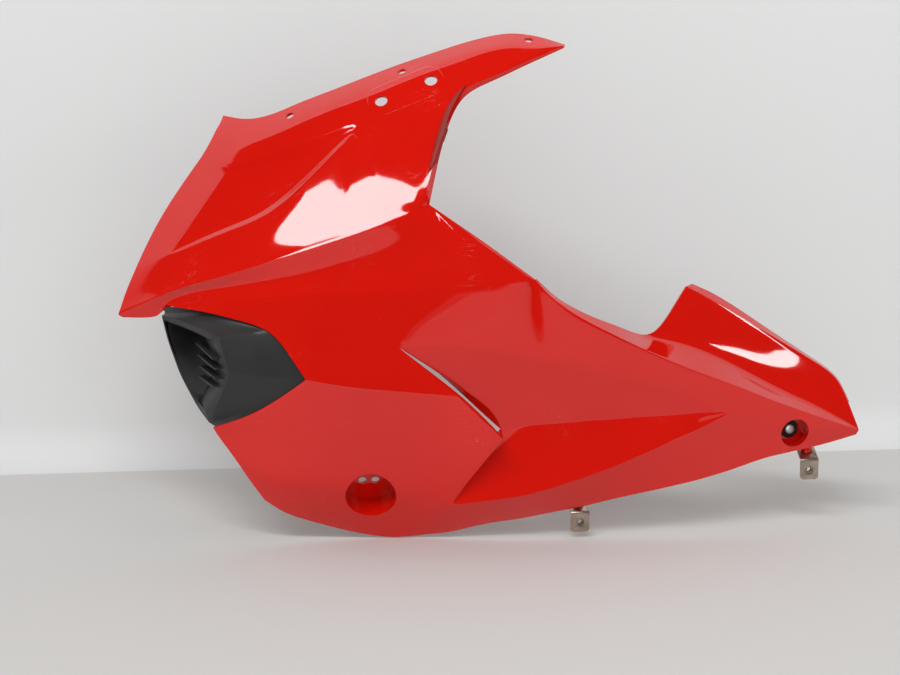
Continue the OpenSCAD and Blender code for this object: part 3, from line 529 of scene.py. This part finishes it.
def buildShell():
    skin = buildSkin()
    tilt = math.radians(frontCup["tilt"])
    rearAt = (rearCup["x"], rearCup["z"], rearCup["relief"])
    rearWay, frontWay = Vector((0, 1, 0)), Vector((0, math.cos(tilt), math.sin(tilt)))
    added = [cup(skin, rearAt, rearWay, rearCup), cup(skin, frontCup["at"], frontWay, frontCup)]
    # the outer and the inner side each keep a material of their own
    for _ in range(2):
        skin.data.materials.append(None)
    addModifier(skin, "SOLIDIFY", thickness=shellLooks["wall"], offset=-1, use_quality_normals=True,
                material_offset=1)
    print("shell wall made,", len(skin.data.polygons), "faces")
    cutters = [cupMouth(rearAt, rearWay, rearCup), cupMouth(frontCup["at"], frontWay, frontCup)]
    for q in mirrorHoles["at"]:
        way = inwardAt(q[0], q[1])
        cutters.append(rod(place(q) - way * 0.01, way, mirrorHoles["bore"] / 2000, 0.02, 64))
    for spot in screenHoles["at"]:
        middle, way = onFlange(spot)
        cutters.append(rod(middle - way * 0.008, way, screenHoles["bore"] / 2000, 0.016, 48))
    cut(skin, joinAll(cutters))
    frontFloor = place(frontCup["at"]) + frontWay * frontCup["depth"] / 1000
    pilots = [rod((0, -0.004, 0), rearWay, 0.00725, 0.008, 64)]
    for side in (-1, 1):
        start = frontFloor + Vector((side * frontCup["pitch"] / 2000, 0, 0)) - frontWay * 0.001
        pilots.append(rod(start, frontWay, frontCup["screwBore"] / 2000, 0.006, 48))
    for post, pilot in (lugBody(lugs["front"]), lugBody(lugs["rear"]), noseBossBody()):
        added.append(post)
        pilots.append(pilot)
    wall = shellLooks["wall"]
    for q in ductStuds["at"]:
        way, height = inwardAt(q[0], q[1]), ductStuds["height"] / 1000
        added.append(rod(place(q) + way * wall / 2, way, ductStuds["across"] / 2000, wall / 2 + height, 24))
        pilots.append(rod(place(q) + way * (wall + height - 0.0045), way,
                          ductStuds["pilot"] / 2000, 0.006, 20))
    for body in added:
        cutOrJoin(skin, body, "UNION")
    cut(skin, joinAll(pilots))
    print("cups, lugs and holes made,", len(skin.data.polygons), "faces")
    return skin


shell = buildShell()
smoothPiece(shell, shellLooks["smoothAngle"])

# the duct is one closed loft of rings; the tucked points of its seam and tip lie under the panel
duct = {
    "wall": 2.5, "seat": 0.4, "tipGap": 0.8, "fold": 5, "levels": 2, "tucked": range(1, 9),
    "mouthOuter": [(-286, 21, 30), (-267, 20, 16), (-248, 15, 0), (-229, 10, -12), (-225, -8, -9),
        (-221, -27, -6), (-227, -44, 2), (-234, -61, 10), (-241, -78, 19), (-252, -67, 36), (-268, -39, 45),
        (-280, -5, 37)],
    "mouthInner": [(-283, 16, 32), (-266, 14, 19), (-249, 10, 5), (-233, 4, -6), (-229, -11, -3),
        (-225, -28, 0), (-230, -42, 6), (-237, -54, 14), (-245, -66, 22), (-252, -60, 36), (-266, -36, 44),
        (-278, -6, 38)],
    "seam": [(-283, 22, 40), (-238, 31, 2), (-208, 25, 1), (-178, 17, 0), (-162, -6, -1), (-147, -30, -2),
        (-170, -47, 0), (-201, -66, 2), (-235, -79, 1), (-251, -68, 58), (-267, -42, 60), (-280, -5, 48)],
    "tip": [(-284, 27, 44), (-236, 39, 1), (-204, 38, 0), (-168, 29, 0), (-148, 4, -1), (-133, -31, -3),
        (-162, -61, 2), (-193, -80, 5), (-226, -84, 4), (-247, -72, 66), (-265, -44, 66), (-282, -4, 54)],
    "throat": [(-281, 10, 50), (-270, 9, 42), (-259, 7, 37), (-248, 4, 33), (-246, -12, 34), (-244, -28, 36),
        (-246, -42, 40), (-250, -52, 44), (-255, -60, 50), (-262, -56, 58), (-272, -34, 60), (-281, -6, 54)],
    "outlet": [(-219, -5, 128), (-206, -8, 127), (-190, -13, 126), (-173, -19, 125), (-171, -35, 128),
        (-169, -51, 131), (-173, -66, 135), (-178, -80, 139), (-185, -90, 143), (-200, -79, 146),
        (-212, -58, 145), (-220, -32, 138)],
    "throatMiddle": (-263, -26), "outletMiddle": (-193, -49), "corners": (0, 3, 5, 8),
    "studHole": 6.6, "midRings": (0.12, 0.6),
}
ductFins = {"count": 4, "thick": 2, "height": 7, "root": 1.2, "firstWall": 3, "mouthStart": 1.12,
            "mouthStep": 0.58, "throatStart": 0.39, "throatStep": 0.72, "from": 0.08, "to": 0.95}


def buildDuct():
    tuck = shellLooks["wall"] * 1000 + duct["seat"]

    def grown(ring, middle):
        out = [(Vector(q[:2]) - Vector(middle)).normalized() * duct["wall"] for q in ring]
        return [(q[0] + way.x, q[1] + way.y, q[2]) for q, way in zip(ring, out)]

    # the ring's points and those halfway between them, in the frame
    def spots(ring, deep=0, tucked=()):
        corners = [Vector((*q, i in tucked)) for i, q in enumerate(ring)]
        mids = [a.lerp(b, 0.5) for a, b in zip(corners, corners[1:] + corners[:1])]
        return [place(q[:3], q[3] * tuck + deep) for pair in zip(corners, mids) for q in pair]

    fold = [tuple(Vector(a).lerp(Vector(b), 0.5)) for a, b in zip(duct["mouthOuter"], duct["mouthInner"])]
    wall, gap, tucked = duct["wall"], duct["tipGap"], duct["tucked"]
    seamOut, mouthOut = spots(duct["seam"], 0, tucked), spots(duct["mouthOuter"])
    # each ring with its crease
    rings = [
        (spots(duct["mouthInner"]), 0.75), (mouthOut, 0.75), (seamOut, 0.3),
        (spots(duct["tip"], gap, tucked), 0.9), (spots(duct["tip"], gap + wall, tucked), 0.9),
        (spots(duct["seam"], wall, tucked), 0.3), (spots(fold, duct["fold"]), 0.5),
        (spots(grown(duct["throat"], duct["throatMiddle"])), 0.3),
        (spots(grown(duct["outlet"], duct["outletMiddle"])), 0.9), (spots(duct["outlet"]), 0.9),
        (spots(duct["throat"]), 0.3),
    ]
    # two more rings between the rim and the seam keep the outer facets straight
    rings[2:2] = [([a.lerp(b, t) for a, b in zip(mouthOut, seamOut)], 0) for t in duct["midRings"]]
    around, turns = len(mouthOut), len(rings)
    verts = [p for ring, crease in rings for p in ring]
    faces = [(j * around + i, (j + 1) % turns * around + i, (j + 1) % turns * around + (i + 1) % around,
              j * around + (i + 1) % around) for j in range(turns) for i in range(around)]
    piece = meshPiece("intakeDuct", verts, faces)
    outwardFaces(piece)
    layer = piece.data.attributes.new("crease_edge", "FLOAT", "EDGE")
    for edge in piece.data.edges:
        a, b = edge.vertices
        if a // around == b // around:
            layer.data[edge.index].value = rings[a // around][1]
        elif a % around == b % around and a % around in [2 * c for c in duct["corners"]]:
            layer.data[edge.index].value = 0.85
    addModifier(piece, "SUBSURF", levels=duct["levels"])
    ways = [inwardAt(q[0], q[1]) for q in ductStuds["at"]]
    holes = [rod(place(q) - way * 0.01, way, duct["studHole"] / 2000, 0.03, 24)
             for q, way in zip(ductStuds["at"], ways)]
    cut(piece, joinAll(holes))

    def wallAt(ring, s):
        i = ductFins["firstWall"] + int(s)
        return place(ring[i]).lerp(place(ring[i + 1]), s - int(s))

    inside = place((*duct["throatMiddle"], 0)) + Vector((0, 0.06, 0))
    blades = []
    for k in range(ductFins["count"]):
        mouthEnd = wallAt(duct["mouthInner"], ductFins["mouthStart"] + ductFins["mouthStep"] * k)
        throatEnd = wallAt(duct["throat"], ductFins["throatStart"] + ductFins["throatStep"] * k)
        low, high = (mouthEnd.lerp(throatEnd, ductFins[end]) for end in ("from", "to"))
        across = (high - low).cross(Vector((0, 0, 1))).normalized()
        lift = across if across.dot(inside - low) > 0 else -across
        thick = (high - low).cross(lift).normalized() * ductFins["thick"] / 2000
        root, crown = inMetres(ductFins, "root", "height")
        corners = [low - lift * root, high - lift * root, high + lift * crown, low + lift * crown]
        blade = meshPiece(
            "fin", [c + side * thick for side in (-1, 1) for c in corners],
            [(0, 1, 2, 3), (7, 6, 5, 4), (0, 4, 5, 1), (1, 5, 6, 2), (2, 6, 7, 3), (3, 7, 4, 0)])
        outwardFaces(blade)
        addModifier(blade, "BEVEL", width=0.0006, segments=3, limit_method="ANGLE")
        blades.append(blade)
    return joinAll([piece] + blades)


intakeDuct = buildDuct()
smoothPiece(intakeDuct, 30)
print("duct ready,", len(intakeDuct.data.polygons), "faces")

# the rear fixing: a rubber grommet with beads on both sides, and a turned sleeve through it
rearFixing = {"sleeveBore": 6.5, "sleeveWall": 1.5, "sleeveLength": 12, "sleeveEdge": 0.4, "rubber": 2.5,
              "bead": 2.5, "wall": 3}


def buildRearFixing():
    f = rearFixing
    bore, half = f["sleeveBore"] / 2000, f["sleeveLength"] / 2000
    sleeveWall, edge, rubber, bead = inMetres(f, "sleeveWall", "sleeveEdge", "rubber", "bead")
    outer = bore + sleeveWall
    sleeve = turned("rearSleeve", [
        (bore + edge, -half), (outer - edge, -half), (outer, -half + edge), (outer, half - edge),
        (outer - edge, half), (bore + edge, half), (bore, half - edge), (bore, edge - half)],
        (0, 0, 0), (0, 1, 0), 96)
    neck, wall = outer + rubber, f["wall"] / 2000
    lip, half = neck + rubber, wall + bead
    side = [(outer, half), (outer + 0.0009, half), (outer + 0.0016, half - 0.0004), (neck, half - 0.0004),
            (lip - 0.0012, half - 0.0003), (lip - 0.0004, half - 0.0008), (lip, half - 0.0016),
            (lip, wall + 0.0002), (lip - 0.0003, wall), (neck, wall)]
    grommet = turned("rearGrommet", side + [(r, -h) for r, h in reversed(side)], (0, 0, 0), (0, 1, 0), 96)
    for piece in (sleeve, grommet):
        smoothPiece(piece, 40)
    return sleeve, grommet


sleeve, grommet = buildRearFixing()


# the two steel tabs, bent under the lower edge
def buildBracket(name, lug):
    bend, along, up = legOf(lug)
    s = steelTab
    width, height, thick, inner, edge = inMetres(s, "width", "height", "thick", "bend", "edge")
    rise, outer = math.radians(lug["rise"]), inner + thick
    centre = (bend.y + outer, bend.z - outer / math.cos(rise) + outer * math.tan(rise))
    leg = (lugs["reach"] + lugs["across"] / 2 + 1) / 1000
    turns = [math.pi - (math.pi / 2 - rise) * k / s["turnSteps"] for k in range(s["turnSteps"] + 1)]
    rimOut = [(centre[0] + outer * math.cos(a), centre[1] + outer * math.sin(a)) for a in turns]
    rimIn = [(centre[0] + inner * math.cos(a), centre[1] + inner * math.sin(a)) for a in reversed(turns)]
    foot = bend.z - height
    outline = [(bend.y, foot), *rimOut,
               (rimOut[-1][0] + leg * along.y, rimOut[-1][1] + leg * along.z),
               (rimIn[0][0] + leg * along.y, rimIn[0][1] + leg * along.z), *rimIn, (bend.y + thick, foot)]
    piece = prism(name, outline, bend.x, width)
    # the tab's lower corners are rounded by what it shares with a bevelled block
    bpy.ops.mesh.primitive_cube_add(
        size=1, location=(bend.x, bend.y + 0.01, foot + 0.04), scale=(width, 0.08, 0.08))
    plate = bpy.context.object
    settlePlace(plate)
    bpy.ops.object.mode_set(mode="EDIT")
    bm = bmesh.from_edit_mesh(plate.data)
    for e in bm.edges:
        a, b = (v.co for v in e.verts)
        e.select = abs(a.x - b.x) < 1e-6 and abs(a.z - b.z) < 1e-6 and a.z < foot + 0.001
    bmesh.update_edit_mesh(plate.data)
    bpy.ops.mesh.bevel(offset=s["corner"] / 1000, segments=10, affect="EDGES")
    bpy.ops.object.mode_set(mode="OBJECT")
    cutOrJoin(piece, plate, "INTERSECT")
    screwBore = tabScrew["across"] / 2000 + edge
    cut(piece, rod(bend + along * lugs["reach"] / 1000 - up * 0.01, up, screwBore, 0.02, 32))
    cut(piece, rod((bend.x, bend.y - 0.01, bend.z - s["holeDrop"] / 1000), (0, 1, 0),
                   s["collar"] / 2000 + edge, 0.03, 48))
    addModifier(piece, "BEVEL", width=edge, segments=2, limit_method="ANGLE")
    smoothPiece(piece, 35)
    return piece


# a clinch nut: its collar fills the tab's hole, and the threads run through it
clinchNut = {"across": 11, "length": 5, "thread": 5, "pitch": 0.8, "crest": 0.3}


def buildNut(name, lug):
    bend, along, up = legOf(lug)
    n, t = clinchNut, steelTab["thick"] / 1000
    collar, body, bore = steelTab["collar"] / 2000, n["across"] / 2000, n["thread"] / 2000
    length, pitch, crest = inMetres(n, "length", "pitch", "crest")
    end = t + length
    turns = int((end - 0.001) / pitch)
    start = (end - turns * pitch) / 2
    thread = []
    for k in range(turns):
        low = start + k * pitch
        thread += [(bore, low), (bore + crest, low + pitch / 2)]
    thread.append((bore, start + turns * pitch))
    outline = [(bore + 0.0004, 0), (collar - 0.0003, 0), (collar, 0.0003), (collar, t), (body - 0.0004, t),
               (body, t + 0.0004), (body, end - 0.0005), (body - 0.0005, end), (bore + 0.0004, end)]
    middle = (bend.x, bend.y, bend.z - steelTab["holeDrop"] / 1000)
    nut = turned(name, outline + thread[::-1], middle, (0, 1, 0), 48)
    smoothPiece(nut, 40)
    return nut


tabScrew = {"head": 10, "across": 3.9, "length": 11, "height": 3, "pitch": 1.3}
smallScrew = {"head": 7, "across": 2.9, "length": 7, "height": 3, "pitch": 1.1}
flangeScrew = {"head": 10, "across": 2.4, "length": 4, "height": 2, "pitch": 1}
screwForm = {"rim": 0.4, "threadDepth": 0.0003, "seat": 0.0003, "tip": 1.2, "recess": 0.22}


# a pan-head screw with rolled threads and a cross recess, at its place and pointing its own way
def buildScrew(name, at, way, size):
    form, r, crest = screwForm, size["head"] / 2000, size["across"] / 2000
    top, end, pitch = inMetres(size, "height", "length", "pitch")
    core, rim = crest - form["threadDepth"], form["rim"]
    dome = [(r * math.sin(a), -top * rim - top * (1 - rim) * math.cos(a))
            for a in [math.pi / 2 * k / 8 for k in range(9)]]
    outline = [(0, -top), *dome[1:], (r, -form["seat"]), (r - form["seat"], 0), (core, 0)]
    for k in range(int((size["length"] - form["tip"]) / size["pitch"])):
        low = 0.0005 + k * pitch
        outline += [(core, low), (crest, low + pitch / 2)]
    outline += [(core, end - 0.0006), (core * 0.6, end), (0, end)]
    screw = turned(name, outline, at, way, 48, closed=False)
    way = Vector(way).normalized()
    turn = way.to_track_quat("Z", "Y").to_euler()
    blades = []
    for spin in (0, math.pi / 2):
        bpy.ops.mesh.primitive_cube_add(
            size=1, location=Vector(at) - way * top, scale=(r * 1.05, r * form["recess"], top * 1.1))
        blade = bpy.context.object
        blade.rotation_euler = (turn.to_matrix() @ Matrix.Rotation(spin, 3, "Z")).to_euler()
        settlePlace(blade)
        blades.append(blade)
    for blade in blades:
        cut(screw, blade)
    print(name, "has", len(screw.data.polygons), "faces")
    smoothPiece(screw, 35)
    return screw


def bracketScrew(name, lug):
    bend, along, up = legOf(lug)
    at = bend + along * lugs["reach"] / 1000 - up * (steelTab["thick"] + 0.3) / 1000
    return buildScrew(name, at, up, tabScrew)


tabEnds = ("front", "rear")
brackets, nuts, tabScrews = (
    [build(end + kind, lugs[end]) for end in tabEnds]
    for build, kind in ((buildBracket, "Bracket"), (buildNut, "Nut"), (bracketScrew, "Screw")))
noseScrew = buildScrew("noseScrew", noseFoot() - Vector((0, 0, 0.0003)), (0, 0, 1), smallScrew)
ductScrews = []
for number, q in enumerate(ductStuds["at"], 1):
    way = inwardAt(q[0], q[1])
    seat = place(q) + way * (shellLooks["wall"] + ductStuds["height"] / 1000 + 0.0003)
    ductScrews.append(buildScrew("ductScrew%d" % number, seat, -way, flangeScrew))
print("brackets, nuts and screws ready")


# one socket of a material, with plain maths on it
class Value:
    def __init__(self, finish, socket):
        self.finish, self.socket = finish, socket

    def maths(self, operation, *others):
        return self.finish.maths(operation, self, *others)

    def __add__(self, other):
        return self.maths("ADD", other)

    def __sub__(self, other):
        return self.maths("SUBTRACT", other)

    def __mul__(self, other):
        return self.maths("MULTIPLY", other)

    def __rsub__(self, other):
        return self.finish.maths("SUBTRACT", other, self)

    __radd__ = __add__
    __rmul__ = __mul__

    def ramp(self, low, high):
        return self.finish.add("MapRange", {}, {"Value": self, "From Min": low, "From Max": high})


class Finish:
    def __init__(self, name, tree=None):
        if tree is None:
            self.material = bpy.data.materials.new(name)
            self.material.use_nodes = True
            tree = self.material.node_tree
        self.tree = tree
        self.tree.nodes.clear()

    # any node: its type, its settings first, then its sockets
    def add(self, kind, settings=None, inputs=None, output=0):
        node = self.tree.nodes.new("ShaderNode" + kind)
        for name, value in (settings or {}).items():
            setattr(node, name, value)
        for name, value in (inputs or {}).items():
            socket = node.inputs[name]
            if isinstance(value, Value):
                self.tree.links.new(value.socket, socket)
            else:
                socket.default_value = value
        return Value(self, node.outputs[output]) if node.outputs else None

    def maths(self, operation, *values):
        return self.add("Math", {"operation": operation}, dict(enumerate(values)))

    def place(self, scale=(1, 1, 1), turn=(0, 0, 0)):
        spot = self.add("TexCoord", output="Object")
        return self.add("Mapping", {}, {"Vector": spot, "Scale": scale, "Rotation": turn})

    def noise(self, spot, scale, detail=2, roughness=0.5):
        return self.add("TexNoise", {}, {
            "Vector": spot, "Scale": scale, "Detail": detail, "Roughness": roughness})

    def mix(self, share, a, b):
        return self.add("Mix", {"data_type": "RGBA"}, {0: share, 6: a, 7: b}, output=2)

    def bump(self, height, distance, strength=1, normal=None):
        inputs = {"Height": height, "Distance": distance, "Strength": strength}
        if normal:
            inputs["Normal"] = normal
        return self.add("Bump", {}, inputs)

    def surface(self, inputs):
        shader = self.add("BsdfPrincipled", {}, inputs)
        self.add("OutputMaterial", {}, {"Surface": shader})
        return self.material


paint = {
    "colour": (0.70, 0.007, 0.0015, 1), "deep": (0.62, 0.005, 0.001, 1), "dust": (0.82, 0.36, 0.30, 1),
    "roughness": 0.04, "coat": 0.35, "coatRoughness": 0.015, "peelScale": 260, "peel": 0.000008,
    "scratches": [{"turn": (0.3, 0.5, 0.2), "stretch": (1, 14, 14), "patches": 14.3125},
                  {"turn": (1.1, -0.4, 0.9), "stretch": (16, 1, 16), "patches": 19}],
    "scratchScale": 9, "scratchWidth": 0.006, "scratchDepth": 0.00004, "dustScale": 420, "dustPatches": 30,
    "pad": {"reach": 0.0135, "edge": 0.0009, "rise": 0.0008},
}


# the raised outline of the pad around the two mirror holes, as the distance to the line between them
def mirrorPad(f):
    (startX, _, startZ), (endX, _, endZ) = (toFrame((q[0], 0, q[1])) for q in mirrorHoles["at"])
    alongX, alongZ = endX - startX, endZ - startZ
    spot = f.add("TexCoord", output="Object")
    spotX, spotZ = (f.add("SeparateXYZ", {}, {"Vector": spot}, output=axis) for axis in ("X", "Z"))
    fromX, fromZ, long = spotX - startX, spotZ - startZ, alongX**2 + alongZ**2
    share = (fromX * (alongX / long) + fromZ * (alongZ / long)).ramp(0, 1)
    offX, offZ = fromX - share * alongX, fromZ - share * alongZ
    away, pad = (offX * offX + offZ * offZ).maths("SQRT"), paint["pad"]
    return 1 - away.ramp(pad["reach"] - pad["edge"], pad["reach"])


def redPaint():
    f, p = Finish("redPaint"), paint
    cloud = f.noise(f.place(), 3.5, 3).ramp(0.35, 0.65)
    # fine scratches are thin bands of two stretched, turned noises
    scratches = []
    for marks in p["scratches"]:
        streak = f.noise(f.place(marks["stretch"], marks["turn"]), p["scratchScale"], 1, 0.4)
        line = 1 - (streak - 0.5).maths("ABSOLUTE").ramp(0, p["scratchWidth"])
        scratches.append(line * f.noise(f.place(), marks["patches"], 2).ramp(0.60, 0.68))
    scratch = scratches[0].maths("MAXIMUM", scratches[1])
    specks = f.add("TexVoronoi", {}, {"Vector": f.place(), "Scale": p["dustScale"]})
    dust = (1 - specks.ramp(0.03, 0.10)) * f.noise(f.place(), p["dustPatches"], 2).ramp(0.58, 0.66)
    colour = f.mix(cloud, p["deep"], p["colour"])
    colour = f.mix((scratch * 0.16).maths("MAXIMUM", dust * 0.22), colour, p["dust"])
    peel = f.bump(f.noise(f.place(), p["peelScale"], 2), p["peel"], 0.35)
    raised = f.bump(mirrorPad(f), p["pad"]["rise"], 0.6, peel)
    scored = f.bump(1 - scratch, p["scratchDepth"], 0.35, raised)
    return f.surface({
        "Base Color": colour, "Roughness": p["roughness"] + scratch * 0.25 + dust * 0.3 + cloud * 0.015,
        "Normal": scored, "Coat Weight": p["coat"], "Coat Roughness": p["coatRoughness"]})


# the plain finishes: clouds of two colours, and a fine grain in the roughness and the bump
brushed = {
    "share": 0.8, "metallic": 1.0, "cloud": (90, 3), "ramp": (0.35, 0.7), "grain": (60, 3, 0.6),
    "bump": (0.00003, 0.5),
}
looks = {
    "blackPlastic": {
        "colours": [(0.017, 0.018, 0.018, 1), (0.025, 0.027, 0.027, 1)], "share": 0.6, "cloud": (18, 3),
        "ramp": (0.3, 0.7), "grain": (1500, 2, 0.6), "roughness": (0.36, 0.07, 0.06), "bump": (0.00004, 0.5)},
    "insidePlastic": {
        "colours": [(0.26, 0.008, 0.004, 1), (0.40, 0.008, 0.003, 1)], "cloud": (7, 4, 0.6),
        "ramp": (0.44, 0.60), "grain": (900, 2), "roughness": (0.48, 0, 0.12), "bump": (0.00003, 0.5)},
    "bracketSteel": {
        **brushed, "colours": [(0.56, 0.49, 0.41, 1), (0.36, 0.28, 0.20, 1)], "stretch": (1, 1, 30),
        "roughness": (0.26, 0.08, 0.16)},
    "nutSteel": {
        **brushed, "colours": [(0.52, 0.48, 0.42, 1), (0.30, 0.25, 0.20, 1)], "stretch": (20, 20, 1),
        "roughness": (0.30, 0.08, 0.16)},
    "sleeveSteel": {
        **brushed, "colours": [(0.62, 0.62, 0.60, 1), (0.42, 0.41, 0.39, 1)], "stretch": (1, 26, 1),
        "roughness": (0.22, 0.08, 0.16)},
    "softRubber": {
        "colours": [(0.012, 0.012, 0.012, 1), (0.022, 0.021, 0.020, 1)], "cloud": (120, 2),
        "ramp": (0.4, 0.7), "grain": (1300, 3, 0.6), "roughness": (0.62, 0, 0.15), "bump": (0.00005, 0.6)},
    "darkOxide": {
        "colours": [(0.035, 0.034, 0.034, 1), (0.07, 0.062, 0.055, 1)], "metallic": 0.85, "cloud": (300, 3),
        "ramp": (0.35, 0.7), "roughness": (0.34, 0.2, 0), "bump": (0.00002, 0.4)},
}


def plainFinish(name):
    f, look = Finish(name), looks[name]
    cloud = f.noise(f.place(), *look["cloud"]).ramp(*look["ramp"])
    grain = f.noise(f.place(look.get("stretch", (1, 1, 1))), *look["grain"]) if "grain" in look else cloud
    base, fromCloud, fromGrain = look["roughness"]
    return f.surface({
        "Base Color": f.mix(cloud * look.get("share", 1), *look["colours"]),
        "Roughness": base + cloud * fromCloud + grain * fromGrain, "Metallic": look.get("metallic", 0),
        "Normal": f.bump(grain, *look["bump"])})


nutSteel, oxide = plainFinish("nutSteel"), plainFinish("darkOxide")
for pieces, material, slot, node in (
        ([shell], redPaint(), "red_shell", "fairing_shell"),
        ([intakeDuct], plainFinish("blackPlastic"), "black_duct", "intake_duct"),
        ([grommet], plainFinish("softRubber"), "grommet_rubber", "rear_grommet"),
        ([sleeve], plainFinish("sleeveSteel"), "sleeve_steel", "rear_sleeve"),
        (brackets, plainFinish("bracketSteel"), "bracket_steel", "{}_lower_bracket"),
        (nuts, nutSteel, "nut_steel", "{}_bracket_nut"),
        (tabScrews, nutSteel, "screw_steel", "{}_bracket_screw"),
        ([noseScrew], oxide, "dark_screw", "nose_screw")):
    for piece, end in zip(pieces, tabEnds):
        finishPiece(piece, material, slot, node.format(end))
for number, screw in enumerate(ductScrews, 1):
    finishPiece(screw, oxide, "dark_screw", "duct_screw_%d" % number)
shell.data.materials[1] = plainFinish("insidePlastic")
print("finishes ready")

# the photographed angle: left side, a little from the front and from above
view = {"azimuth": -7, "elevation": 10, "distance": 2.0, "lens": 80, "sensor": 36, "target": (0, 60, 0)}


def buildCamera():
    a, e = math.radians(view["azimuth"]), math.radians(view["elevation"])
    back = Vector((math.sin(a) * math.cos(e), -math.cos(a) * math.cos(e), math.sin(e)))
    camera = addObject("camera", bpy.data.cameras.new("camera"))
    camera.data.lens, camera.data.sensor_width = view["lens"], view["sensor"]
    camera.location = toFrame(view["target"]) + back * view["distance"]
    camera.rotation_euler = back.to_track_quat("Z", "Y").to_euler()
    bpy.context.scene.camera = camera


# softboxes stand upright at a bearing, with their reach in degrees as seen from the panel
studio = {
    "centre": (-0.43, 0, 0.23), "distance": 2.5,
    "keyBox": {"bearing": -30, "left": -24, "right": 38, "low": 43, "high": 52, "radiance": 13},
    "sideBox": {"bearing": 56, "left": 0.3, "right": 4.3, "low": 13, "high": 22, "radiance": 14},
    "fill": {"at": (-0.3, -3.2, 1.2), "size": 3.0, "radiance": 1.0},
    "wallY": 0.34, "floorZ": -0.0995, "sweep": 0.05, "middleX": -0.35, "width": 8, "height": 4, "depth": 5,
    "wallColour": (0.77, 0.78, 0.78, 1), "floorColour": (0.66, 0.65, 0.635, 1),
    "ambient": 0.38, "glossy": 0.05,
}


def addLamp(name, location, facing, width, height, radiance, glossy):
    lamp = addObject(name, bpy.data.lights.new(name, "AREA"))
    lamp.data.shape, lamp.data.size, lamp.data.size_y = "RECTANGLE", width, height
    lamp.data.energy = radiance * math.pi * width * height
    lamp.location = location
    lamp.rotation_euler = (-Vector(facing)).to_track_quat("Z", "Y").to_euler()
    lamp.visible_camera = False
    lamp.visible_glossy = glossy


def addSoftbox(name, box):
    bearing, far = math.radians(box["bearing"]), studio["distance"]
    out = Vector((math.sin(bearing), -math.cos(bearing), 0))
    along = Vector((math.cos(bearing), math.sin(bearing), 0))
    left, right, low, high = (
        far * math.tan(math.radians(box[key])) for key in ("left", "right", "low", "high"))
    across = along * (left + right) / 2 + Vector((0, 0, (low + high) / 2))
    addLamp(name, Vector(studio["centre"]) + out * far + across, -out, right - left, high - low,
            box["radiance"], True)


def buildStudio():
    s = studio
    addSoftbox("keyBox", s["keyBox"])
    addSoftbox("sideBox", s["sideBox"])
    fill = s["fill"]
    addLamp("fill", fill["at"], Vector(s["centre"]) - Vector(fill["at"]), fill["size"], fill["size"],
            fill["radiance"], False)
    # one sheet: the floor, a small sweep and the wall behind
    turn = [math.pi / 2 * k / 8 for k in range(9)]
    profile = [(-s["depth"], s["floorZ"])] + [
        (s["wallY"] - s["sweep"] + s["sweep"] * math.sin(a), s["floorZ"] + s["sweep"] * (1 - math.cos(a)))
        for a in turn] + [(s["wallY"], s["height"])]
    verts = [(side * s["width"] / 2 + s["middleX"], y, z) for side in (-1, 1) for y, z in profile]
    last = len(profile)
    backdrop = meshPiece("backdrop", verts, [(i + 1, i, i + last, i + 1 + last) for i in range(last - 1)])
    smoothPiece(backdrop, 40)
    for name, colour in (("paleWall", s["wallColour"]), ("paleFloor", s["floorColour"])):
        f = Finish(name)
        soft = f.noise(f.place(), 1.3, 2).ramp(0.2, 0.8)
        # the sheet can be looked through from behind and from below
        behind = f.add("NewGeometry", output="Backfacing")
        backdrop.data.materials.append(f.surface({
            "Base Color": f.mix(soft, tuple(c * 0.97 for c in colour), colour), "Alpha": 1 - behind,
            "Roughness": 0.7, "Specular IOR Level": 0.2}))
    for face in backdrop.data.polygons:
        face.material_index = 1 if face.center.z < s["floorZ"] + 0.001 else 0
    world = bpy.data.worlds.new("studio")
    bpy.context.scene.world = world
    world.use_nodes = True
    f = Finish("studio", world.node_tree)
    glossy = f.add("LightPath", output="Is Glossy Ray")
    light = f.add("Background", {}, {
        "Color": (1, 1, 1, 1), "Strength": s["ambient"] + glossy * (s["glossy"] - s["ambient"])})
    f.add("OutputWorld", {}, {"Surface": light})


buildCamera()
buildStudio()
bpy.context.scene.view_settings.view_transform = "Standard"
print("studio ready")
